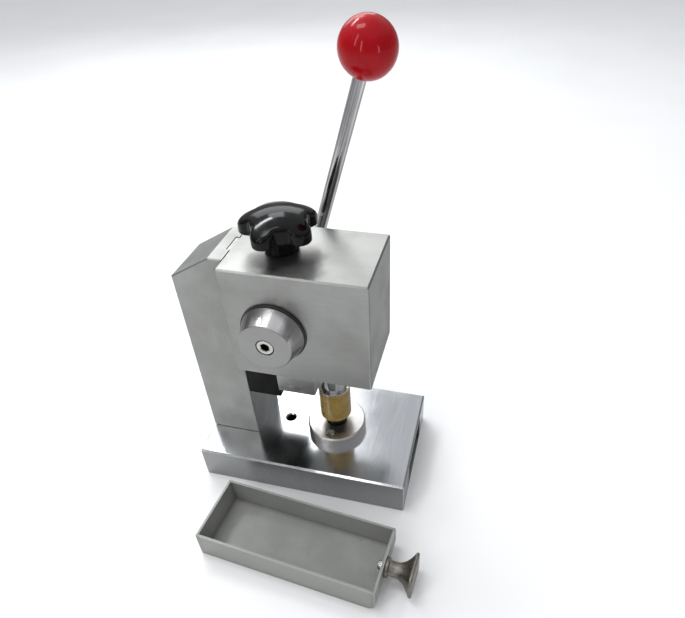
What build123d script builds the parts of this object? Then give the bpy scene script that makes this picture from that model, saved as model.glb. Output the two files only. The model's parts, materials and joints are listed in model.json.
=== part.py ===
from build123d import *

import os
from math import acos, cos, isclose, pi, radians, sin, sqrt, tan

# Lever press with a rack-driven ram.
#
# The frame: the ram's axis is X = Y = 0 and the plane that the base stands on is Z = 0.
# +X runs from the column towards the front end of the base, where the drawer comes out.
# -Y is the side with the round cap and +Y is the side with the lever.  All sizes are mm.

# --- base -------------------------------------------------------------------------------
base_length = 188.0
base_width = 110.0
base_height = 34.0
base_rear = 114.0  # from the ram's axis back to the rear end
base_chamfer = 1.5
drawer_slot_width = 59.0
drawer_slot_height = 27.6
drawer_floor = 2.0  # left under the drawer
drawer_slot_depth = 153.0
slot_corner_radius = 3.0
bench_hole_radius = 4.25
bench_hole_x = -46.0
bench_hole_chamfer = 1.2
drop_hole_radius = 11.5

# --- column -----------------------------------------------------------------------------
column_length = 45.0
column_width = 48.0
column_height = 190.0
bevel_length = 34.0
bevel_drop = 20.0
edge_chamfer = 0.8

# --- head -------------------------------------------------------------------------------
head_length = 112.0
head_width = 72.0
head_height = 98.0
head_chamfer = 1.2
tongue_width = 18.0
tongue_depth = 2.5
lug_length = 31.0
lug_depth = 16.5
lug_front_gap = 4.0  # from the lug's front face to the ram's axis
support_length = 29.0
support_height = 37.0

# --- pinion shaft and its bushes --------------------------------------------------------
shaft_below_top = 51.0
shaft_radius = 8.0
shaft_near_reach = 41.7
shaft_far_reach = 63.5
gear_module = 2.0
pinion_teeth = 18
pressure_angle = radians(20)
tooth_root = 1.25  # depth below the pitch line, in modules
pinion_width = 12.0
tooth_play = 0.12  # taken off each flank, on the pinion and on the rack
key_width = 5.0
key_height = 5.0
near_bush_play = 1.0  # the near bush's bore lets the pinion in past its tips
far_bush_radius = 12.0
bush_end_gap = 0.4

# --- side cap ---------------------------------------------------------------------------
cap_base_radius = 25.0
cap_face_radius = 20.0
cap_depth = 16.4
cap_web = 4.0
cap_edge = 0.8
washer_radius = 25.8
washer_thickness = 1.6

# --- lever ------------------------------------------------------------------------------
lever_angle = radians(17.5)  # forward of upright
lever_radius = 5.0
lever_length = 185.0  # shaft axis to the middle of the ball
lever_offset = 51.0  # from the middle of the press out to the lever's plane
lever_root_gap = 1.0  # from the shaft to the rod's inner end
hub_radius = 17.0
hub_width = 26.0
hub_edge = 1.5
grub_sink = 1.0  # below the hub's rim
ball_radius = 20.0
ball_socket_depth = 14.0
ball_flat_radius = 8.0
thrust_washer_radius = 15.0
end_washer_radius = 11.0
end_washer_thickness = 2.0

# --- ram and tooling --------------------------------------------------------------------
ram_radius = 11.0
ram_bottom = 56.0
ram_length = 140.0
ram_chamfer = 1.0
rack_width = 10.0
rack_back = 5.0  # from the ram's axis back to the rack's seat
rack_side_gap = 0.5  # between the rack and its slot in the head
rack_teeth_above = 2
rack_teeth_below = 5
ram_bush_wall = 4.0
ram_bush_length = 10.0
ram_bore_roof = 5.0
punch_radius = 9.5
punch_gap = 1.0  # between punch and die while the press is at rest
punch_shank_radius = 5.0
punch_shank_length = 15.0
sleeve_wall = 3.0
sleeve_length = 32.5
sleeve_overhang = 2.0
sleeve_edge = 2.2
sleeve_ring_thickness = 1.5

# --- die --------------------------------------------------------------------------------
die_radius = 26.5
die_height = 10.0
die_chamfer = 1.2
die_land = 5.0
die_relief = 1.0
die_screw_circle = 18.0

# --- brake ------------------------------------------------------------------------------
star_lobes = 5
star_phase = 44.0  # degrees, direction of the first lobe
star_radius = 30.0
star_lobe_radius = 8.5
star_core_radius = 21.5
star_valley_radius = 4.0
star_hub_radius = 13.0
star_hub_height = 13.5
star_rim_height = 8.5
star_crown = 9.0
star_edge = 1.6
star_standoff = 0.8
stud_radius = 5.0
stud_in_knob = 18.0
shoe_radius = 6.0
shoe_height = 12.4
shoe_gap = 0.6
shoe_lift = 4.0  # room above the shoe

# --- drawer -----------------------------------------------------------------------------
tray_length = 152.0
tray_width = 55.6
tray_height = 27.0
tray_wall = 2.0
tray_bend = 9.0
tray_corner = (-82.8, -129.8)  # its near rear corner on the bench
tray_turn = -5.2  # degrees about Z
pull_height = 16.5
pull_size = 27.0
pull_reach = 24.5
pull_neck_radius = 6.0
pull_collar_radius = 8.0
pull_collar_length = 3.0
pull_face_thickness = 3.0
pull_corner = 3.0
pull_screw_length = 14.0

# --- screws -----------------------------------------------------------------------------
m8 = 8.0
m6 = 6.0
m4 = 4.0
column_screw_rear = 9.0  # from the column's back to the first pair
column_screw_front = 26.0
column_screw_side = 15.0  # from the middle plane to each row
column_screw_seat = 12.0
column_screw_length = 38.0
head_screw_side = 14.0
head_screw_low = 20.0  # above the head's lower face
head_screw_high = 32.0  # below its top face
head_screw_seat = 9.0  # how deep the heads sit in the column's back
head_screw_reach = 20.0  # into the head block
support_screw_side = 12.0
support_screw_seat = 6.6
support_screw_grip = 14.0  # into the column
die_screw_sink = 0.3  # of a head below the die's top
die_screw_length = 8.0
cap_screw_sink = 0.16
cap_screw_grip = 18.0
end_screw_grip = 14.0
rack_screw_seat = 5.0  # in front of the ram's axis
rack_screw_length = 14.0
rack_screw_margin = 8.0  # from the rack's ends
drill_point = 1.0  # how much deeper a blind hole goes than its screw

# --- fits -------------------------------------------------------------------------------
running_fit = 0.05  # radial, on what turns or slides
seat_fit = 0.02  # radial, on what is pressed in and stays
thread_fit = 0.1  # radial, between a plain screw body and its threaded hole
clearance_fit = 0.5  # radial, where a screw passes through
head_fit = 0.5  # radial, round a screw head in its counterbore
face_gap = 0.2  # between turning and standing flat faces
slide_fit = 0.1  # either side of a key or tongue

# --- places worked out from the sizes above ---------------------------------------------
rear_x = -base_rear
front_x = base_length - base_rear
column_front = rear_x + column_length
top_z = base_height + column_height
head_bottom = top_z - head_height
head_side = head_width / 2
die_top = base_height + die_height
slot_roof = base_height - drawer_floor - drawer_slot_height
punch_bottom = die_top + punch_gap
ram_top = ram_bottom + ram_length
pitch_radius = gear_module * pinion_teeth / 2
tip_radius = pitch_radius + gear_module
shaft_x = -ram_radius - tip_radius
shaft_z = top_z - shaft_below_top
near_bush_radius = tip_radius + near_bush_play
lever_root = shaft_radius + lever_root_gap
ram_bush_radius = ram_radius + ram_bush_wall
sleeve_radius = ram_radius + sleeve_wall
root_radius = pitch_radius - tooth_root * gear_module
tooth_pitch = pi * gear_module
rack_pitch_x = shaft_x + pitch_radius
rack_tip_x = rack_pitch_x - gear_module
rack_root_x = rack_pitch_x + tooth_root * gear_module
rack_bottom = shaft_z - rack_teeth_below * tooth_pitch
rack_top = shaft_z + rack_teeth_above * tooth_pitch
chamber_half = pinion_width / 2 + bush_end_gap
cap_back = head_side + face_gap + washer_thickness
cap_front = cap_back + cap_depth

middle = (Align.CENTER, Align.CENTER, Align.CENTER)
standing = (Align.CENTER, Align.CENTER, Align.MIN)
hanging = (Align.CENTER, Align.CENTER, Align.MAX)

# Planes on the shaft's axis: local Z runs along +Y, local X along +X, local Y along -Z.
shaft_plane = Plane(origin=(shaft_x, 0, shaft_z), x_dir=(1, 0, 0), z_dir=(0, 1, 0))
lever_direction = (sin(lever_angle), 0, cos(lever_angle))
lever_plane = Plane(origin=(shaft_x, lever_offset, shaft_z), x_dir=(0, 1, 0), z_dir=lever_direction)

os.makedirs("parts", exist_ok=True)


# Proportions of a socket head screw, in thread diameters.
head_edge = 0.08
end_edge = 0.12
hex_apothem = 0.4
hex_depth = 0.55

# --- fasteners --------------------------------------------------------------------------
def head_radius(size):
    """Radius of a socket head: 1.5 thread diameters across, and a little more on the larger ones."""
    return 0.75 * size + 0.5


def socket_screws(plane, points, size, length):
    """Socket head screws whose heads stand on the plane and whose bodies run down its -Z."""
    with BuildPart(plane) as screws:
        with Locations(*points):
            Cylinder(head_radius(size), size, align=standing)
            Cylinder(size / 2, length, align=hanging)
        along = Axis(plane.origin, plane.z_dir)
        chamfer(screws.edges().group_by(along)[-1], head_edge * size)
        chamfer(screws.edges().group_by(along)[0], end_edge * size)
        with BuildSketch(plane.offset(size)):
            with Locations(*points):
                RegularPolygon(hex_apothem * size, 6, major_radius=False)
        extrude(amount=-hex_depth * size, mode=Mode.SUBTRACT)
    return screws


def screw_bore(size):
    """Radius of a threaded hole drawn plain."""
    return size / 2 + thread_fit


# --- base plate -------------------------------------------------------------------------
column_screw_points = [
    (rear_x + column_screw_rear, -column_screw_side),
    (rear_x + column_screw_rear, column_screw_side),
    (rear_x + column_screw_front, -column_screw_side),
    (rear_x + column_screw_front, column_screw_side),
]
under_base = Plane(origin=(0, 0, column_screw_seat), x_dir=(1, 0, 0), z_dir=(0, 0, -1))
die_screw_points = [(0, -die_screw_circle), (0, die_screw_circle)]
die_screw_seat = die_top - m6 - die_screw_sink

with BuildPart() as base_plate:
    with BuildSketch():
        with Locations(((front_x + rear_x) / 2, 0)):
            Rectangle(base_length, base_width)
    extrude(amount=base_height)
    chamfer(base_plate.edges().group_by(Axis.Z)[-1], base_chamfer)
    chamfer(base_plate.edges().filter_by(Axis.Z), edge_chamfer)
    with BuildSketch(Plane.XY.offset(drawer_floor)):
        with Locations((front_x - drawer_slot_depth / 2, 0)):
            Rectangle(drawer_slot_depth, drawer_slot_width)
    extrude(amount=drawer_slot_height, mode=Mode.SUBTRACT)
    blind_end = base_plate.faces().filter_by(Axis.X).sort_by(Axis.X)[1]
    fillet(blind_end.edges().filter_by(Axis.Z), slot_corner_radius)
    with Locations((0, 0, base_height)):
        Hole(drop_hole_radius, slot_roof)
    with Locations((bench_hole_x, 0, base_height)):
        Hole(bench_hole_radius, base_height)
    rim = base_plate.edges().filter_by(GeomType.CIRCLE).group_by(Axis.Z)[-1].sort_by(Axis.X)[0]
    chamfer(rim, bench_hole_chamfer)
    with Locations(*[(x, y, base_height) for x, y in die_screw_points]):
        Hole(screw_bore(m6), slot_roof)
    with Locations(*[(x, y, base_height) for x, y in column_screw_points]):
        Hole(m8 / 2 + clearance_fit, base_height)
    with Locations(*[(x, y, 0) for x, y in column_screw_points]):
        Cylinder(head_radius(m8) + head_fit, column_screw_seat, align=standing, mode=Mode.SUBTRACT)
base_plate.part.label = "base_plate"
export_step(base_plate.part, "parts/base_plate.step")

# Seen from below, local Y is mirrored, which a pattern even about Y doesn't notice.
column_screws = socket_screws(under_base, column_screw_points, m8, column_screw_length)
column_screws.part.label = "column_screws"
export_step(column_screws.part, "parts/column_screws.step")

# --- column -----------------------------------------------------------------------------
head_screw_points = [
    (-head_screw_side, head_bottom + head_screw_low),
    (-head_screw_side, top_z - head_screw_high),
    (head_screw_side, head_bottom + head_screw_low),
    (head_screw_side, top_z - head_screw_high),
]
support_screw_z = head_bottom - support_height / 2
support_screw_points = [(-support_screw_side, support_screw_z), (support_screw_side, support_screw_z)]
column_back_plane = Plane(origin=(rear_x + head_screw_seat, 0, 0), x_dir=(0, -1, 0), z_dir=(-1, 0, 0))
column_front_plane = Plane(origin=(column_front, 0, 0), x_dir=(0, 1, 0), z_dir=(1, 0, 0))

with BuildPart() as column:
    with BuildSketch(Plane.XZ):
        with BuildLine():
            Polyline(
                (rear_x, base_height),
                (column_front, base_height),
                (column_front, top_z),
                (rear_x + bevel_length, top_z),
                (rear_x, top_z - bevel_drop),
                close=True,
            )
        make_face()
    extrude(amount=column_width / 2, both=True)
    side_edges = column.edges().group_by(Axis.Y)
    chamfer(side_edges[0] + side_edges[-1], edge_chamfer)
    with BuildSketch(Plane.XY.offset(top_z)):
        with Locations((column_front, 0)):
            Rectangle(2 * (tongue_depth + slide_fit), tongue_width + 2 * slide_fit)
    extrude(amount=-head_height, mode=Mode.SUBTRACT)
    with BuildSketch(column_back_plane):
        with Locations(*[(-y, z) for y, z in head_screw_points]):
            Circle(m8 / 2 + clearance_fit)
    extrude(amount=-column_length, mode=Mode.SUBTRACT)
    with BuildSketch(column_back_plane):
        with Locations(*[(-y, z) for y, z in head_screw_points]):
            Circle(head_radius(m8) + head_fit)
    extrude(amount=head_screw_seat, mode=Mode.SUBTRACT)
    with BuildSketch(Plane.XY.offset(base_height)):
        with Locations(*column_screw_points):
            Circle(screw_bore(m8))
    column_screw_grip = column_screw_length - (base_height - column_screw_seat)
    extrude(amount=column_screw_grip + drill_point, mode=Mode.SUBTRACT)
    with BuildSketch(column_front_plane):
        with Locations(*support_screw_points):
            Circle(screw_bore(m6))
    extrude(amount=-support_screw_grip - drill_point, mode=Mode.SUBTRACT)
column.part.label = "column"
export_step(column.part, "parts/column.step")

head_screw_length = column_length - head_screw_seat + head_screw_reach
head_screws = socket_screws(
    column_back_plane, [(-y, z) for y, z in head_screw_points], m8, head_screw_length
)
head_screws.part.label = "head_screws"
export_step(head_screws.part, "parts/head_screws.step")

# --- head block -------------------------------------------------------------------------
stud_bore = stud_radius + 2 * thread_fit
shoe_bore = shoe_radius + 2 * thread_fit
shoe_bottom = shaft_z + tip_radius + shoe_gap
shoe_top = shoe_bottom + shoe_height
shoe_room_top = shoe_top + shoe_lift

with BuildPart() as head_block:
    with BuildSketch(Plane.XY.offset(head_bottom)):
        with Locations((column_front + head_length / 2, 0)):
            Rectangle(head_length, head_width)
    extrude(amount=head_height)
    chamfer(head_block.edges(), head_chamfer)
    # The tongue runs the height of the rear face.
    with BuildSketch(Plane.XY.offset(head_bottom + head_chamfer)):
        with Locations((column_front, 0)):
            Rectangle(2 * tongue_depth, tongue_width)
    extrude(amount=head_height - 1.5 * head_chamfer)
    # The lug hangs below the shaft, flush with both sides.
    with BuildSketch(Plane.XY.offset(head_bottom - lug_depth)):
        with Locations((-lug_front_gap - lug_length / 2, 0)):
            Rectangle(lug_length, head_width)
    extrude(amount=lug_depth + 2 * head_chamfer)
    chamfer(head_block.edges().group_by(Axis.Z)[0], edge_chamfer)
    # The ram's bore, closed at the top, with its bush seat and the slot for the rack.
    with Locations((0, 0, top_z - ram_bore_roof)):
        Cylinder(ram_radius + running_fit, head_height + lug_depth, align=hanging, mode=Mode.SUBTRACT)
    with Locations((0, 0, head_bottom)):
        Cylinder(ram_bush_radius + seat_fit, 2 * ram_bush_length, align=middle, mode=Mode.SUBTRACT)
    rack_room = rack_side_gap - rack_tip_x
    with BuildSketch(Plane.XY.offset(head_bottom + ram_bush_length)):
        with Locations((-rack_room / 2, 0)):
            Rectangle(rack_room, rack_width + 2 * rack_side_gap)
    extrude(amount=head_height - ram_bush_length - ram_bore_roof, mode=Mode.SUBTRACT)
    # The stepped bore for the pinion shaft and its bushes.
    with BuildSketch(shaft_plane.offset(-head_side)):
        Circle(near_bush_radius + seat_fit)
    extrude(amount=head_side + chamber_half, mode=Mode.SUBTRACT)
    with BuildSketch(shaft_plane):
        Circle(far_bush_radius + seat_fit)
    extrude(amount=head_side, mode=Mode.SUBTRACT)
    # The brake's bore, from the top face down to the pinion.
    with BuildSketch(Plane.XY.offset(top_z)):
        with Locations((shaft_x, 0)):
            Circle(stud_bore)
    extrude(amount=-shaft_below_top, mode=Mode.SUBTRACT)
    with BuildSketch(Plane.XY.offset(shoe_room_top)):
        with Locations((shaft_x, 0)):
            Circle(shoe_bore)
    extrude(amount=shaft_z - shoe_room_top, mode=Mode.SUBTRACT)
    # Threaded holes for the screws through the column.
    with BuildSketch(column_front_plane):
        with Locations(*head_screw_points):
            Circle(screw_bore(m8))
    extrude(amount=head_screw_reach + drill_point, mode=Mode.SUBTRACT)
head_block.part.label = "head_block"
export_step(head_block.part, "parts/head_block.step")

# --- support block under the head -------------------------------------------------------
support_face = Plane(
    origin=(column_front + support_length - support_screw_seat, 0, 0), x_dir=(0, 1, 0), z_dir=(1, 0, 0)
)
with BuildPart() as support_block:
    with BuildSketch(Plane.XY.offset(head_bottom - support_height)):
        with Locations((column_front + support_length / 2, 0)):
            Rectangle(support_length, column_width)
    extrude(amount=support_height)
    chamfer(support_block.edges().filter_by(Axis.Z).sort_by(Axis.X)[-2:], edge_chamfer)
    chamfer(support_block.edges().group_by(Axis.Z)[0].sort_by(Axis.X)[-1:], edge_chamfer)
    with BuildSketch(support_face):
        with Locations(*support_screw_points):
            Circle(m6 / 2 + clearance_fit)
    extrude(amount=-support_length, mode=Mode.SUBTRACT)
    with BuildSketch(support_face):
        with Locations(*support_screw_points):
            Circle(head_radius(m6) + head_fit)
    extrude(amount=support_screw_seat, mode=Mode.SUBTRACT)
support_block.part.label = "support_block"
export_step(support_block.part, "parts/support_block.step")

support_screw_length = support_length - support_screw_seat + support_screw_grip
support_screws = socket_screws(support_face, support_screw_points, m6, support_screw_length)
support_screws.part.label = "support_screws"
export_step(support_screws.part, "parts/support_screws.step")

# --- die on the base --------------------------------------------------------------------
with BuildPart() as anvil_disc:
    with BuildSketch(Plane.XY.offset(base_height)):
        Circle(die_radius)
    extrude(amount=die_height)
    chamfer(anvil_disc.edges().group_by(Axis.Z)[-1], die_chamfer)
    with Locations((0, 0, die_top)):
        Hole(punch_radius + running_fit, die_height)
    with Locations((0, 0, base_height)):
        Cylinder(punch_radius + die_relief, die_height - die_land, align=standing, mode=Mode.SUBTRACT)
    with Locations(*[(x, y, die_top) for x, y in die_screw_points]):
        CounterBoreHole(
            m6 / 2 + clearance_fit, head_radius(m6) + head_fit, die_top - die_screw_seat, die_height
        )
anvil_disc.part.label = "anvil_disc"
export_step(anvil_disc.part, "parts/anvil_disc.step")

anvil_screws = socket_screws(Plane.XY.offset(die_screw_seat), die_screw_points, m6, die_screw_length)
anvil_screws.part.label = "anvil_screws"
export_step(anvil_screws.part, "parts/anvil_screws.step")


# --- bushes in the head -----------------------------------------------------------------
def bush(plane, outer, inner, length):
    """Plain bush standing on the plane."""
    with BuildPart(plane) as ring:
        with BuildSketch(plane):
            Circle(outer)
            Circle(inner, mode=Mode.SUBTRACT)
        extrude(amount=length)
    return ring


bush_length = head_side - chamber_half
ram_bush = bush(Plane.XY.offset(head_bottom), ram_bush_radius, ram_radius + running_fit, ram_bush_length)
ram_bush.part.label = "ram_bush"
export_step(ram_bush.part, "parts/ram_bush.step")

shaft_bore = shaft_radius + running_fit
shaft_bush_near = bush(shaft_plane.offset(-head_side), near_bush_radius, shaft_bore, bush_length)
shaft_bush_near.part.label = "shaft_bush_near"
export_step(shaft_bush_near.part, "parts/shaft_bush_near.step")

shaft_bush_far = bush(shaft_plane.offset(chamber_half), far_bush_radius, shaft_bore, bush_length)
shaft_bush_far.part.label = "shaft_bush_far"
export_step(shaft_bush_far.part, "parts/shaft_bush_far.step")

# --- pinion shaft -----------------------------------------------------------------------
hub_start = lever_offset - hub_width / 2
hub_end = lever_offset + hub_width / 2
key_drop = key_height / 2  # how deep the key sits in the shaft

with BuildPart() as pinion_shaft:
    with BuildSketch(shaft_plane.offset(-shaft_near_reach)):
        Circle(shaft_radius)
    extrude(amount=shaft_near_reach + shaft_far_reach)
    chamfer(pinion_shaft.edges().filter_by(GeomType.CIRCLE), edge_chamfer)
    with Locations(shaft_plane.offset(-shaft_near_reach)):
        Cylinder(screw_bore(m8), cap_screw_grip + drill_point, align=standing, mode=Mode.SUBTRACT)
    with Locations(shaft_plane.offset(shaft_far_reach)):
        Cylinder(screw_bore(m6), end_screw_grip + drill_point, align=hanging, mode=Mode.SUBTRACT)
    # Keyways under the pinion and under the lever hub, on the lower side of the shaft.
    for start, length in ((-pinion_width / 2, pinion_width), (hub_start, hub_width)):
        with BuildSketch(shaft_plane.offset(start)):
            with Locations((0, shaft_radius)):
                Rectangle(key_width, 2 * key_drop)
        extrude(amount=length, mode=Mode.SUBTRACT)
pinion_shaft.part.label = "pinion_shaft"
export_step(pinion_shaft.part, "parts/pinion_shaft.step")


def key(start, length):
    """Square key lying in the lower side of the shaft."""
    with BuildPart() as bar:
        with BuildSketch(shaft_plane.offset(start)):
            with Locations((0, shaft_radius)):
                Rectangle(key_width - 2 * seat_fit, key_height - 2 * seat_fit)
        extrude(amount=length)
    return bar


pinion_key = key(-pinion_width / 2, pinion_width)
pinion_key.part.label = "pinion_key"
export_step(pinion_key.part, "parts/pinion_key.step")

hub_key = key(hub_start, hub_width)
hub_key.part.label = "hub_key"
export_step(hub_key.part, "parts/hub_key.step")


# --- pinion -----------------------------------------------------------------------------
def involute(angle):
    """Involute function, tan(a) - a."""
    return tan(angle) - angle


def half_tooth_angle(radius):
    """Angle from the middle of a tooth to its flank at a radius."""
    base_radius = pitch_radius * cos(pressure_angle)
    at_pitch = pi / (2 * pinion_teeth) - tooth_play / pitch_radius
    here = acos(min(1.0, base_radius / radius))
    return at_pitch + involute(pressure_angle) - involute(here)


flank_steps = 8
tooth_sunk = 0.5  # how far a tooth's foot runs into the rim, so that the two join
base_circle = pitch_radius * cos(pressure_angle)
flank_radii = [base_circle + (tip_radius - base_circle) * k / flank_steps for k in range(flank_steps + 1)]
upper_flank = [(r * cos(half_tooth_angle(r)), r * sin(half_tooth_angle(r))) for r in flank_radii]
foot = half_tooth_angle(base_circle)
foot_radius = root_radius - tooth_sunk
upper_foot = (foot_radius * cos(foot), foot_radius * sin(foot))
tooth_outline = (
    [upper_foot]
    + upper_flank
    + [(x, -y) for x, y in reversed(upper_flank)]
    + [(upper_foot[0], -upper_foot[1])]
)

with BuildSketch() as tooth:
    with BuildLine():
        Polyline(*tooth_outline, close=True)
    make_face()

with BuildPart() as pinion:
    with BuildSketch(shaft_plane.offset(-pinion_width / 2)):
        Circle(root_radius)
        with PolarLocations(0, pinion_teeth):
            add(tooth.sketch)
        Circle(shaft_radius + seat_fit, mode=Mode.SUBTRACT)
        with Locations((0, shaft_radius)):
            Rectangle(key_width, key_height, mode=Mode.SUBTRACT)
    extrude(amount=pinion_width)
pinion.part.label = "pinion"
export_step(pinion.part, "parts/pinion.step")

# --- side cap ---------------------------------------------------------------------------
cap_screw_seat = cap_front - m8 - cap_screw_sink
cap_socket_end = cap_screw_seat - cap_web

with BuildPart() as cap_washer:
    with BuildSketch(shaft_plane.offset(-cap_back)):
        Circle(washer_radius)
        Circle(shaft_radius + slide_fit, mode=Mode.SUBTRACT)
    extrude(amount=washer_thickness)
cap_washer.part.label = "cap_washer"
export_step(cap_washer.part, "parts/cap_washer.step")

with BuildPart(shaft_plane.offset(-cap_front)) as side_cap:
    Cone(cap_face_radius, cap_base_radius, cap_depth, align=standing)
    chamfer(side_cap.edges().filter_by(GeomType.CIRCLE), cap_edge)
    Cylinder(head_radius(m8) + head_fit, cap_front - cap_screw_seat, align=standing, mode=Mode.SUBTRACT)
    Cylinder(m8 / 2 + clearance_fit, cap_depth, align=standing, mode=Mode.SUBTRACT)
    with Locations((0, 0, cap_front - cap_socket_end)):
        Cylinder(shaft_radius + seat_fit, cap_depth, align=standing, mode=Mode.SUBTRACT)
side_cap.part.label = "side_cap"
export_step(side_cap.part, "parts/side_cap.step")

cap_screw_plane = Plane(origin=(shaft_x, -cap_screw_seat, shaft_z), x_dir=(1, 0, 0), z_dir=(0, -1, 0))
cap_screw_length = cap_screw_seat - shaft_near_reach + cap_screw_grip
cap_screw = socket_screws(cap_screw_plane, [(0, 0)], m8, cap_screw_length)
cap_screw.part.label = "cap_screw"
export_step(cap_screw.part, "parts/cap_screw.step")

# --- lever ------------------------------------------------------------------------------
grub_direction = (-cos(lever_angle), 0, sin(lever_angle))
grub_plane = Plane(origin=(shaft_x, lever_offset, shaft_z), x_dir=(0, 1, 0), z_dir=grub_direction)
grub_outer = hub_radius - grub_sink

with BuildPart() as thrust_washer:
    with BuildSketch(shaft_plane.offset(head_side + face_gap)):
        Circle(thrust_washer_radius)
        Circle(shaft_radius + slide_fit, mode=Mode.SUBTRACT)
    extrude(amount=hub_start - head_side - face_gap)
thrust_washer.part.label = "thrust_washer"
export_step(thrust_washer.part, "parts/thrust_washer.step")

with BuildPart() as lever_hub:
    with BuildSketch(shaft_plane.offset(hub_start)):
        Circle(hub_radius)
    extrude(amount=hub_width)
    chamfer(lever_hub.edges().filter_by(GeomType.CIRCLE), hub_edge)
    with BuildSketch(shaft_plane.offset(hub_start)):
        Circle(shaft_radius + seat_fit)
        with Locations((0, shaft_radius)):
            Rectangle(key_width, key_height)
    extrude(amount=hub_width, mode=Mode.SUBTRACT)
    with BuildSketch(lever_plane):
        Circle(lever_radius + seat_fit)
    extrude(amount=hub_radius, mode=Mode.SUBTRACT)
    with BuildSketch(grub_plane):
        Circle(screw_bore(m6))
    extrude(amount=hub_radius, mode=Mode.SUBTRACT)
lever_hub.part.label = "lever_hub"
export_step(lever_hub.part, "parts/lever_hub.step")

with BuildPart() as hub_grub_screw:
    with BuildSketch(grub_plane.offset(shaft_radius)):
        Circle(m6 / 2)
    extrude(amount=grub_outer - shaft_radius)
    with BuildSketch(grub_plane.offset(grub_outer)):
        RegularPolygon(m6 / 4, 6, major_radius=False)
    extrude(amount=-m6 / 2, mode=Mode.SUBTRACT)
hub_grub_screw.part.label = "hub_grub_screw"
export_step(hub_grub_screw.part, "parts/hub_grub_screw.step")

with BuildPart() as hub_end_washer:
    with BuildSketch(shaft_plane.offset(hub_end)):
        Circle(end_washer_radius)
        Circle(m6 / 2 + clearance_fit, mode=Mode.SUBTRACT)
    extrude(amount=end_washer_thickness)
hub_end_washer.part.label = "hub_end_washer"
export_step(hub_end_washer.part, "parts/hub_end_washer.step")

end_screw_length = hub_end + end_washer_thickness - shaft_far_reach + end_screw_grip
end_screw_plane = shaft_plane.offset(hub_end + end_washer_thickness)
hub_end_screw = socket_screws(end_screw_plane, [(0, 0)], m6, end_screw_length)
hub_end_screw.part.label = "hub_end_screw"
export_step(hub_end_screw.part, "parts/hub_end_screw.step")

ball_flat = sqrt(ball_radius**2 - ball_flat_radius**2)  # from the ball's middle to its flat
rod_end = lever_length - ball_flat + ball_socket_depth
with BuildPart() as lever_rod:
    with BuildSketch(lever_plane.offset(lever_root)):
        Circle(lever_radius)
    extrude(amount=rod_end - lever_root)
    chamfer(lever_rod.edges().filter_by(GeomType.CIRCLE), edge_chamfer)
lever_rod.part.label = "lever_rod"
export_step(lever_rod.part, "parts/lever_rod.step")

with BuildPart(lever_plane.offset(lever_length)) as ball_knob:
    Sphere(ball_radius)
    with Locations((0, 0, -ball_flat)):
        Cylinder(ball_flat_radius * 2, ball_radius, align=hanging, mode=Mode.SUBTRACT)
        Cylinder(lever_radius + seat_fit, ball_socket_depth, align=standing, mode=Mode.SUBTRACT)
ball_knob.part.label = "ball_knob"
export_step(ball_knob.part, "parts/ball_knob.step")

# --- ram --------------------------------------------------------------------------------
rack_screw_points = [(0, rack_bottom + rack_screw_margin), (0, rack_top - rack_screw_margin)]
rack_screw_plane = Plane(origin=(rack_screw_seat, 0, 0), x_dir=(0, 1, 0), z_dir=(1, 0, 0))

with BuildPart() as ram:
    with BuildSketch(Plane.XY.offset(ram_bottom)):
        Circle(ram_radius)
    extrude(amount=ram_length)
    chamfer(ram.edges().group_by(Axis.Z)[-1], ram_chamfer)
    with Locations((0, 0, ram_bottom)):
        Cylinder(
            punch_shank_radius + seat_fit,
            punch_shank_length + drill_point,
            align=standing,
            mode=Mode.SUBTRACT,
        )
    with BuildSketch(Plane.XY.offset(rack_bottom)):
        with Locations((-rack_back - ram_radius / 2, 0)):
            Rectangle(ram_radius, rack_width + 2 * slide_fit)
    extrude(amount=rack_top - rack_bottom, mode=Mode.SUBTRACT)
    with BuildSketch(rack_screw_plane):
        with Locations(*rack_screw_points):
            Circle(m4 / 2 + clearance_fit)
    extrude(amount=-(rack_screw_seat + rack_back), mode=Mode.SUBTRACT)
    with BuildSketch(rack_screw_plane):
        with Locations(*rack_screw_points):
            Circle(head_radius(m4) + head_fit / 2)
    extrude(amount=ram_radius, mode=Mode.SUBTRACT)
ram.part.label = "ram"
export_step(ram.part, "parts/ram.step")

# The rack's flanks lean by the pressure angle, and a gap faces the shaft's axis at rest.
half_at_pitch = tooth_pitch / 4 - tooth_play
half_at_tip = half_at_pitch - gear_module * tan(pressure_angle)
half_at_root = half_at_pitch + tooth_root * gear_module * tan(pressure_angle)
rack_teeth = rack_teeth_above + rack_teeth_below
tooth_centres = [rack_bottom + (k + 0.5) * tooth_pitch for k in range(rack_teeth)]
rack_outline = [(-rack_back, rack_bottom), (rack_root_x, rack_bottom)]
for centre in tooth_centres:
    rack_outline += [
        (rack_root_x, centre - half_at_root),
        (rack_tip_x, centre - half_at_tip),
        (rack_tip_x, centre + half_at_tip),
        (rack_root_x, centre + half_at_root),
    ]
rack_outline += [(rack_root_x, rack_top), (-rack_back, rack_top)]

with BuildPart() as rack:
    with BuildSketch(Plane.XZ):
        with BuildLine():
            Polyline(*rack_outline, close=True)
        make_face()
    extrude(amount=rack_width / 2, both=True)
    with BuildSketch(Plane(origin=(-rack_back, 0, 0), x_dir=(0, 1, 0), z_dir=(1, 0, 0))):
        with Locations(*rack_screw_points):
            Circle(screw_bore(m4))
    rack_screw_grip = rack_screw_length - rack_screw_seat - rack_back
    extrude(amount=-rack_screw_grip - edge_chamfer, mode=Mode.SUBTRACT)
rack.part.label = "rack"
export_step(rack.part, "parts/rack.step")

rack_screws = socket_screws(rack_screw_plane, rack_screw_points, m4, rack_screw_length)
rack_screws.part.label = "rack_screws"
export_step(rack_screws.part, "parts/rack_screws.step")

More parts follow.
